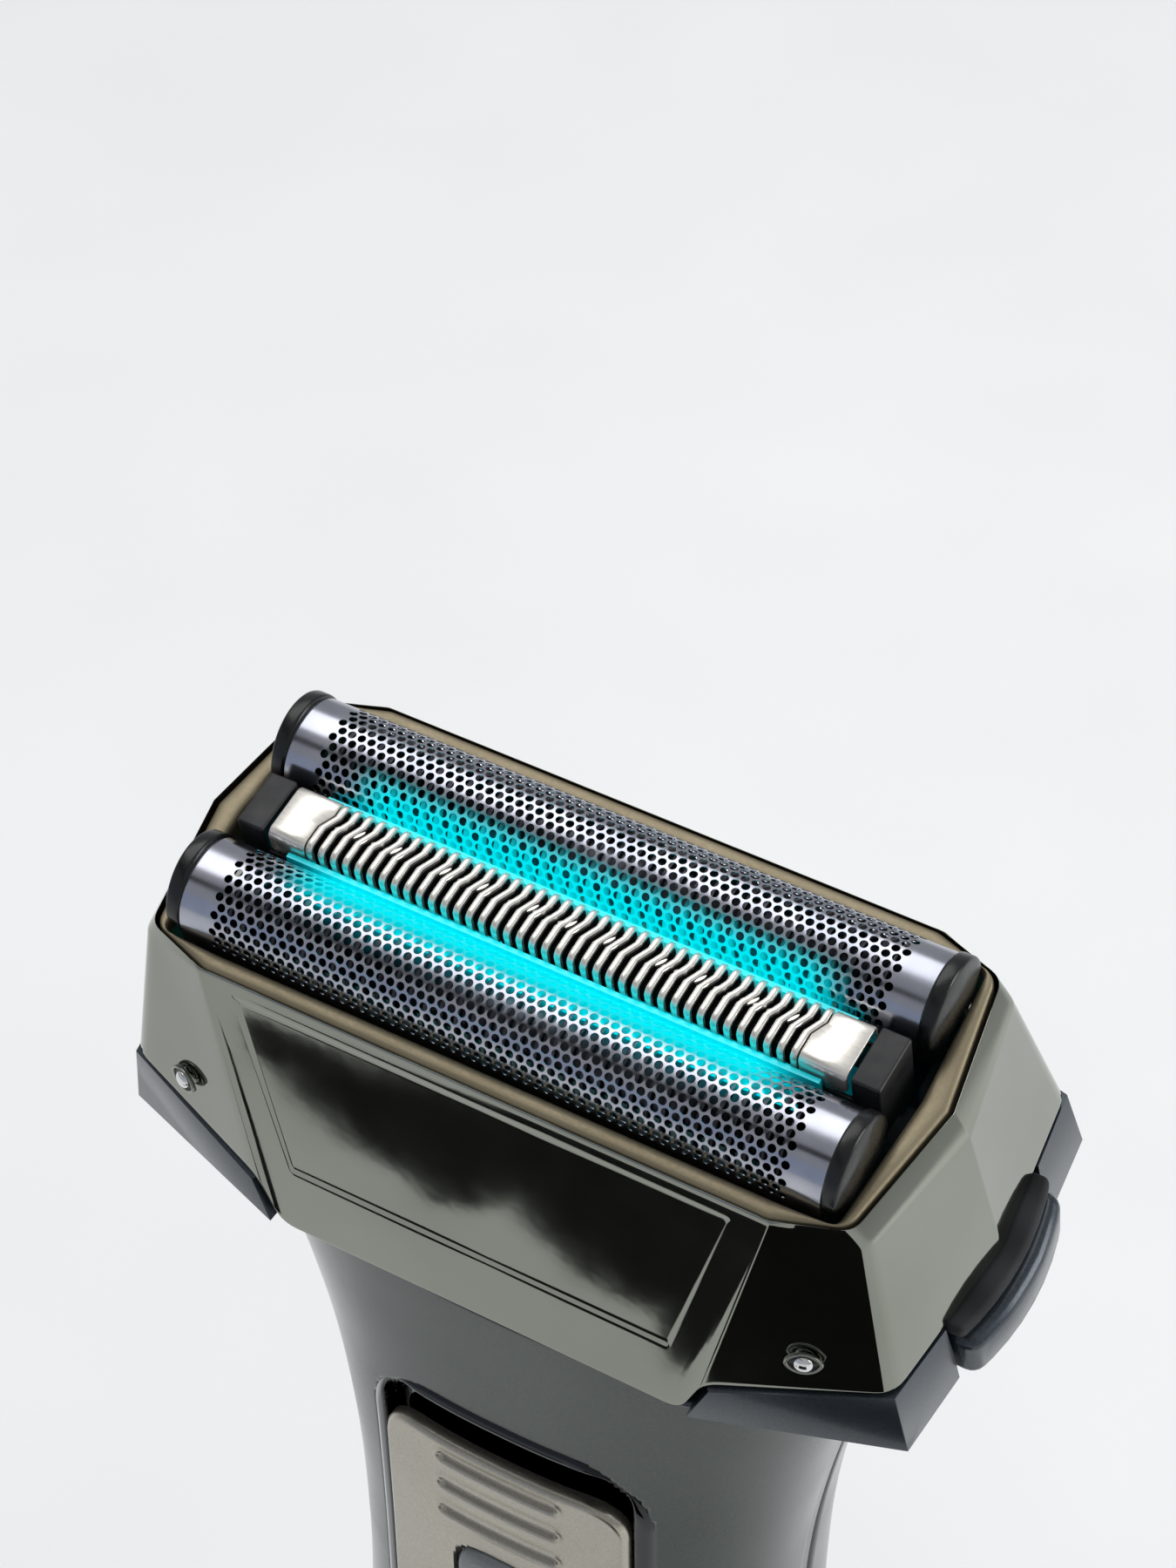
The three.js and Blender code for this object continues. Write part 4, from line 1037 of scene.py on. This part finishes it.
def panel(name, outline, under, height, spacing, fine_x=(), fine_z=()):
    """A panel over the outline (half, low, high, top radius, low radius). A row's width
    is the outline's width at its height, and columns are shares of that width."""
    half, low, high, top_radius, low_radius = outline
    ends = [(low, low + low_radius, 0.2), (high - top_radius, high, 0.2)]
    z = crowded(low, high, spacing, [*ends, *fine_z])
    middle = (low + high) / 2
    radius = np.where(z > middle, top_radius, low_radius)
    into = np.maximum(np.abs(z - middle) - ((high - low) / 2 - radius), 0)
    width = half - radius + np.sqrt(np.maximum(radius ** 2 - into ** 2, 0))
    share = crowded(-half, half, spacing, [(-half, 0.8 - half, 0.12), (half - 0.8, half, 0.12),
                                           *fine_x]) / half
    share[0], share[-1] = -1, 1
    x = width[:, None] * share
    zz = np.broadcast_to(z[:, None], x.shape)
    top = on_skin(x, zz, height(x, zz))
    bottom = on_skin(x, zz, np.full(x.shape, under))
    rows, columns = x.shape
    quads = grid_faces(rows, columns, wrap_columns=False)
    index = np.arange(rows * columns).reshape(rows, columns)
    border = np.concatenate([index[0], index[1:, -1], index[-1, -2::-1], index[-2:0:-1, 0]])
    after = np.roll(border, -1)
    total = rows * columns
    wall = np.stack([border, after, after + total, border + total], -1)
    faces = np.concatenate([quads, quads[:, ::-1] + total, wall])
    piece = make_object(name, from_row(np.stack([top, bottom])), faces)
    return finish_mesh(piece)


def edge_round(depth, radius):
    """How much lower a rounded edge is at a depth inside its outline."""
    inward = np.clip(radius - depth, 0, radius)
    return radius - np.sqrt(np.maximum(radius ** 2 - inward ** 2, 0))


# %% [markdown]
# ### Power switch
# The switch is a plate that slides up in a gloss black arch. Three ribs cut across its
# upper part give the thumb hold, and a lock button stands in its middle.

# %% Power switch
plate_low, plate_high = node_box("switch_plate")
lock_low, lock_high = node_box("lock_button")
PLATE = (plate_high[0], plate_low[2], plate_high[2], 3.0, 2.6)
LOCK = (lock_high[0], lock_low[2], lock_high[2], 2.2, 2.2)
SWITCH_TRAVEL = joints["power_switch_slide"]["range_m"][1] / MM
WINDOW = (PLATE[0] + 0.15, PLATE[1] - 0.15, PLATE[2] + SWITCH_TRAVEL + 0.15, 2.75, 2.75)
WINDOW_FLOOR = -1.08
PLATE_PROUD = 0.75
GROOVES = [PLATE[2] - 1.6 - 2.95 * number for number in range(3)]
GROOVE_HALF = 4.6
GROOVE_ROUND = 0.42


def surround_height(x, z):
    """A rounded rim between the outline and the window, and a sunk floor inside it."""
    rim = 0.3 - edge_round(rounded_depth(x, z, *SURROUND), 0.9)
    window = rounded_depth(x, z, *WINDOW)
    rim = rim - edge_round(-window, 0.35)
    return np.where(window > 0, WINDOW_FLOOR, np.maximum(rim, WINDOW_FLOOR))


def plate_height(x, z):
    """A plate with rounded edges, a little dished in the middle, cut by round-ended
    grooves and by the well of the lock button."""
    height = PLATE_PROUD - edge_round(rounded_depth(x, z, *PLATE), 0.45)
    for middle in GROOVES:
        along = np.maximum(np.abs(x) - (GROOVE_HALF - GROOVE_ROUND), 0)
        away = np.hypot(along, z - middle)
        height = height - 0.42 * step((GROOVE_ROUND + 0.12 - away) / 0.3)
        height = height + 0.1 * np.exp(-((away - GROOVE_ROUND - 0.28) / 0.16) ** 2)
    well = rounded_depth(x, z, LOCK[0] + 0.25, LOCK[1] - 0.25, LOCK[2] + 0.25, 2.45, 2.45)
    return height - 0.95 * step((well + 0.06) / 0.12)


def lock_height(x, z):
    """A domed button: a generous round to its edges and a slight crown."""
    return 1.25 - edge_round(rounded_depth(x, z, *LOCK), 0.9) * 0.7


groove_rows = [(z - 0.75, z + 0.75, 0.09) for z in GROOVES]
groove_ends = [(way * GROOVE_HALF - 0.9, way * GROOVE_HALF + 0.9, 0.15) for way in (-1, 1)]
well_rows = [(z - 0.4, z + 0.4, 0.1) for z in (LOCK[1], LOCK[2])]
window_rows = [(z - 0.5, z + 0.5, 0.1) for z in (WINDOW[1], WINDOW[2])]
surround = panel("black_chrome_surround", SURROUND, -1.2, surround_height, 0.4,
                 [(-10.4, -9.2, 0.1), (9.2, 10.4, 0.1)], window_rows)
stand_for(surround, "handle", "black_gloss", "switch_surround")
plate = panel("switch_sliding_plate", PLATE, -0.35, plate_height, 0.5, groove_ends,
              groove_rows + well_rows)
stand_for(plate, "power_switch", "switch_plate_metal", "switch_plate")
lock = panel("lock_push_button", LOCK, -0.2, lock_height, 0.35)
stand_for(lock, "lock_button", "lock_grey", "lock_button")
for piece in (surround, plate, lock):
    crisp(piece, 55)
print("switch travel", SWITCH_TRAVEL, "mm")

# %% [markdown]
# ## Inner blades
# Under each foil a cutter of thin steel plates runs to and fro. Their bright edges
# glint through the holes, and the dark between them makes the holes look black; their steel
# is also painted dark, as shade under the foil, and takes the valleys' painted glow. Each
# plate is an arch with a narrow rim, and a spine holds them together.

# %% Inner blades
LAMELLAE = 36
LAMELLA_THICK = 0.22


def lamella(x, middle_y, radius, low):
    """One arched plate as a closed row of section loops: outline outside, then inside."""
    angle = np.linspace(0, math.pi, 17)
    y = np.concatenate([[radius], radius * np.cos(angle), [-radius]])
    z = np.concatenate([[low], FOIL_AXIS_Z + radius * np.sin(angle), [low]])
    inner = np.concatenate([[radius - 0.7], (radius - 0.7) * np.cos(angle), [0.7 - radius]])
    deep = np.concatenate([[low], FOIL_AXIS_Z + (radius - 0.7) * np.sin(angle), [low]])
    half = LAMELLA_THICK / 2
    section = [(x - half, y, z), (x + half, y, z), (x + half, inner, deep),
               (x - half, inner, deep)]
    return np.stack([np.stack([np.full(len(a), at), a + middle_y, b], -1)
                     for at, a, b in section], 1)


for row, side in ROWS:
    low, high = head_span(f"inner_blade_{row}")
    radius = high[2] - FOIL_AXIS_Z
    places = np.linspace(low[0] + 0.3, high[0] - 0.3, LAMELLAE)
    plates = [lamella(x, side * FOIL_Y, radius, low[2]) for x in places]
    turn = np.linspace(0, math.pi, 13)
    ends = np.array([low[0], high[0]])
    tube = [np.stack([np.full(13, x), side * FOIL_Y + r * np.cos(turn),
                      FOIL_AXIS_Z - 0.6 + r * np.sin(turn)], -1)
            for r, x in ((radius - 0.9, ends[0]), (radius - 0.9, ends[1]),
                         (radius - 1.1, ends[1]), (radius - 1.1, ends[0]))]
    plates.append(np.stack(tube, 1))
    blades = solid_strips(f"cutter_lamellae_{row}", plates, from_head)
    store_painted_glow(blades)
    stand_for(blades, f"blade_{row}", "cutter_steel", f"inner_blade_{row}", material=PAINTED_DARK_BLADE_STEEL)
print("lamellae:", LAMELLAE, "a row")

# %% [markdown]
# ## Moulded pieces with softened edges
# Many pieces keep the model's own shape. No moulded or machined edge is a perfect
# corner, so a copy is merged into one skin, its edges are bevelled by a small radius,
# and the copy stands for the model's piece.


# %% Softened copies
SOFT_ANGLE = 28


def soften(node, body, slot, radius_mm, segments=3, material=None):
    """A copy of a model node with rounded edges and even shading over its flats."""
    source = frame["nodes"][node].data
    work = bmesh.new()
    work.from_mesh(source)
    bmesh.ops.remove_doubles(work, verts=work.verts, dist=2e-6)
    bmesh.ops.dissolve_limit(work, angle_limit=math.radians(0.6), verts=work.verts,
                             edges=work.edges)
    bmesh.ops.recalc_face_normals(work, faces=work.faces)
    for face in work.faces:
        face.smooth = True
    mesh = bpy.data.meshes.new(f"{node}_softened")
    work.to_mesh(mesh)
    work.free()
    obj = link_new(f"{node}_softened", mesh)
    edge = obj.modifiers.new("edge", "BEVEL")
    edge.width = radius_mm * MM
    edge.segments = segments
    edge.limit_method = "ANGLE"
    edge.angle_limit = math.radians(SOFT_ANGLE)
    edge.harden_normals = True
    return stand_for(obj, body, slot, node, material=material)


soften("head_base", "handle", "band_blue", 1.0, 5)
soften("neck_seal", "handle", "seal_rubber", 0.1, 1)
soften("base_cap", "handle", "base_plastic", 0.4)
soften("trimmer_frame", "trimmer", "frame_black", 0.2)
soften("popup_housing", "handle", "popup_paint", 0.7, 4)
soften("popup_arm", "popup_arm", "popup_paint", 0.3)
soften("popup_comb", "popup_arm", "comb_steel", 0.06, 2)
soften("popup_latch", "popup_latch", "black_gloss", 0.3, material=FINISH["cap_black"])
for hand, _ in HANDS:
    soften(f"release_button_{hand}", f"release_{hand}", "band_blue", 0.8, 4)
    soften(f"release_pad_{hand}", f"release_{hand}", "pad_rubber", 0.4, 3)
print("softened copies made")

# %% [markdown]
# ## Pins on the corner facets
# A small round-headed pin sits on each corner facet, in a seat shaped like an almond.
# The seat is a low rim round a black disc, painted shade standing for the dark of a recess,
# and the pin a turned dome; both stand on the facet's own plane, which the model's pin gives.


# %% Dome pins
PIN_RADIUS = 0.62
PIN_PROUD = 0.34


def facet_axes(node, side_x_way, side_y_way):
    """The middle of a pin's foot on its facet, and the facet's along, up and out."""
    low, high = head_span(node)
    corner_a, corner_b = np.array(RIDGE[2], float), np.array(RIDGE[3], float)
    corner_c = np.array(SKIRT[3], float)
    out = np.cross(corner_c - corner_a, corner_b - corner_a)
    out /= np.linalg.norm(out)
    out *= np.sign(out[0])
    flip = np.array([side_x_way, -side_y_way, 1.0])
    middle = (low + high) / 2 * flip
    middle = middle - np.dot(middle - corner_a, out) * out
    along = np.cross([0, 0, 1.0], out)
    along /= np.linalg.norm(along)
    up = np.cross(out, along)
    return middle * flip, along * flip, up * flip, out * flip


def turned_on(middle, along, up, out, stations, squash=1.0, power=1.0):
    """A turned form: loops of a radius at a height above the facet. A power above 1
    draws the loop out to points at both ends, as on an almond."""
    angle = np.arange(28) * math.tau / 28
    rows = []
    for radius, height in stations:
        a = radius * np.cos(angle)
        b = radius * squash * np.sign(np.sin(angle)) * np.abs(np.sin(angle)) ** power
        rows.append(middle + a[:, None] * along + b[:, None] * up + height * out)
    return np.array(rows)


for row, y_way in ROWS:
    for hand, x_way in HANDS:
        axes = facet_axes(f"dome_pin_{row}_{hand}", x_way, y_way)
        turn = np.linspace(0, math.pi / 2, 7)[:-1]
        dome = [(PIN_RADIUS, -0.3)] + [(PIN_RADIUS * math.cos(t), PIN_PROUD * math.sin(t))
                                       for t in turn] + [(0.02, PIN_PROUD)]
        pin = loft(f"round_pin_{row}_{hand}", turned_on(*axes, dome), from_head)
        stand_for(pin, "cassette", "chrome", f"dome_pin_{row}_{hand}")
        rim = [(1.22, -0.2), (1.22, 0.0), (1.16, 0.07), (1.05, 0.07), (0.98, 0.0),
               (0.92, -0.2)]
        seat = loft(f"pin_seat_rim_{row}_{hand}",
                    turned_on(*axes, rim, 0.72, 1.35), from_head, closed_profile=True)
        stand_for(seat, "cassette", "gunmetal_plate")
        # A black disc on the facet: painted shade for the seat's hollow.
        base = [(0.99, -0.2), (0.99, 0.012), (0.02, 0.012)]
        painted_shade_disc = loft(f"pin_seat_floor_{row}_{hand}",
                          turned_on(*axes, base, 0.72, 1.35), from_head)
        stand_for(painted_shade_disc, "cassette", "cap_black")
print("pins proud of the facet by", PIN_PROUD, "mm")

# %% [markdown]
# ## Lip of the band
# Under the hood's front edge the band shows as a thin dark line, because its plate runs
# a little way out over the neck. It is the hood's own lower outline, drawn a bit smaller
# and given a small thickness with rounded edges.

# %% Band lip
LIP_LOW = -20.72
LIP_SECTION = [(-2.6, 0), (-0.75, 0), (-0.5, 0.15), (-0.42, 0.4), (-0.5, 0.62), (-0.75, 0.72),
               (-2.6, 0.72)]
lip_rows = [four_ways(head_quarter(level(SKIRT, LIP_LOW + z, (grow, grow)), SKIRT_ROUND))
            for grow, z in LIP_SECTION]
band_lip = loft("band_front_lip", np.array(lip_rows), from_head, closed_profile=True)
stand_for(band_lip, "handle", "band_blue")
print("band lip", round(-LIP_LOW, 2), "mm under the ring")

# %% [markdown]
# ## Finishes of the pieces inside
# Everything else keeps the model's shape and takes the finish of what it is made of.

# %% Finishes of the model's own pieces
subparts = frame["record"]["subparts"]
for entry in subparts:
    mesh = frame["nodes"][entry["node"]].data
    mesh.materials.clear()
    mesh.materials.append(FINISH[entry["material_slot"]])
print("finished", len(subparts), "pieces of the model")

# %% [markdown]
# ## Studio
# The shaver stands on its base on a pale floor under soft boxes. Plated surfaces show
# whatever stands round them, so white boxes and black cards are placed where the hood's
# facets mirror them. The cards are seen by reflections only.


# %% Studio helpers
def card_from(name, points, material, seen=False):
    """A card from its corners in metres, which only reflections see unless seen is set."""
    mesh = bpy.data.meshes.new(name)
    mesh.from_pydata(points.tolist(), [], [list(range(len(points)))])
    mesh.materials.append(material)
    card = link_new(name, mesh)
    card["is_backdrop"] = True
    card.visible_camera = card.visible_shadow = card.visible_diffuse = seen


def placed_card(name, centre, aim, width, height, material, seen=False):
    """A flat card of a size in metres that faces a point."""
    half = np.array([[-1, -1, 0], [1, -1, 0], [1, 1, 0], [-1, 1, 0]]) / 2
    back = Vector(centre) - Vector(aim)
    turn = np.array(back.to_track_quat("Z", "Y").to_matrix())
    card_from(name, (half * [width, height, 0]) @ turn.T + np.array(centre), material, seen)


def soft_box(name, centre, aim, width, height, watts):
    """A rectangular area light that faces a point."""
    data = bpy.data.lights.new(name, "AREA")
    data.shape = "RECTANGLE"
    data.size, data.size_y = width, height
    data.energy = watts
    light = link_new(name, data)
    light.location = centre
    light.rotation_mode = "QUATERNION"
    light.rotation_quaternion = (Vector(aim) - Vector(centre)).to_track_quat("-Z", "Y")
    return light


# %% Studio
HEAD_MIDDLE = Vector(HEAD_ORIGIN * MM)
FLOOR_HALF = 3.0
paper = pattern(surface("floor_paper", "#E9EAEA", Roughness=0.75), ("#E7E8E8", "#EBECEC"), 60)
placed_card("floor", (0, 0, 0), (0, 0, -1), 2 * FLOOR_HALF, 2 * FLOOR_HALF, paper, seen=True)
world = bpy.data.worlds.new("studio")
bpy.context.scene.world = world
world.use_nodes = True
sky = world.node_tree.nodes["Background"]
sky.inputs["Color"].default_value = linear("#E1E4E7")
sky.inputs["Strength"].default_value = 0.5
bpy.context.scene.view_settings.view_transform = "Standard"


def towards(direction, distance):
    """A place at a distance in metres from the head's middle, in a direction."""
    return HEAD_MIDDLE + Vector(direction).normalized() * distance


black = surface("black_flock", "#050505", Roughness=1.0)[0]
fill = soft_box("overhead_fill", (0.0, 0.3, 1.6), (0, 0, 0), 2.4, 2.4, 15.5)
fill.visible_glossy = False
soft_box("crest_box", towards((-0.37, 0.3, 0.88), 0.6), HEAD_MIDDLE, 0.55, 0.4, 1.25)
soft_box("side_box", towards((0.75, 0.35, 0.3), 0.7), HEAD_MIDDLE, 0.3, 0.5, 2)
placed_card("upper_card", towards((-0.37, -0.58, 0.7), 0.4), HEAD_MIDDLE, 0.5, 0.07, black)

# %% [markdown]
# ### Cards that the flat facets mirror
# A flat mirror shows a viewer what an eye behind it would see. So the dark shape wanted
# on a facet is drawn on the facet itself, and carried out along the lines from that
# mirrored eye to where the card stands.


# %% Mirrored cards
def mirrored_card(name, outline, share):
    """A card whose outline on a facet, in head millimetres, is carried away from the
    viewer's mirror image by a share of each point's distance to it."""
    face = np.array(outline, float) @ HEAD_AXES + HEAD_ORIGIN
    normal = np.cross(face[1] - face[0], face[-1] - face[0])
    normal /= np.linalg.norm(normal)
    eye = CAMERA_AT - 2 * np.dot(CAMERA_AT - face[0], normal) * normal
    carried = face + share * (face - eye)
    card_from(name, carried * MM, black)


def on_long_side(x, v):
    """A place on the hood's long side: v of the way from its ridge to its lower edge."""
    ridge, skirt = np.array(RIDGE[0]), np.array(SKIRT[0])
    y, z = ((1 - v)[:, None] * ridge + v[:, None] * skirt)[:, 1:].T
    return np.stack([x, y, z], -1)


dark = np.array([(-17, 0.1), (-16.5, 0.25), (-13.7, 0.36), (-9.9, 0.47), (-5.8, 0.51),
                 (-3.2, 0.57), (-0.1, 0.52), (2.5, 0.42), (3.7, 0.48), (7.3, 0.6), (12.6, 0.62),
                 (14, 0.82), (17.4, 0.6), (20.5, 0.5), (22, -0.2), (8, -0.2), (0, -0.03),
                 (-5.6, 0.04), (-10.8, 0.08)])
mirrored_card("long_side_card", on_long_side(dark[:, 0], dark[:, 1]), 0.6)
placed_card("corner_card", (0.04, -0.09, 0.066), HEAD_MIDDLE, 0.072, 0.058, black)
blue_grey, _, blue_shader, _ = surface("blue_grey_card", "#000000", Roughness=1.0)
blue_shader.inputs["Emission Color"].default_value = linear("#B4BED2")
blue_shader.inputs["Emission Strength"].default_value = 0.75
placed_card("low_card", towards((-0.37, -0.9, 0.08), 0.4), HEAD_MIDDLE, 0.6, 0.22, blue_grey)

# %% [markdown]
# ## Size of the model
# The size of the finished model is printed.

# %% Finish
low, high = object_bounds()
print("visual box, mm:", [round(v / MM, 1) for v in (*low, *high)])
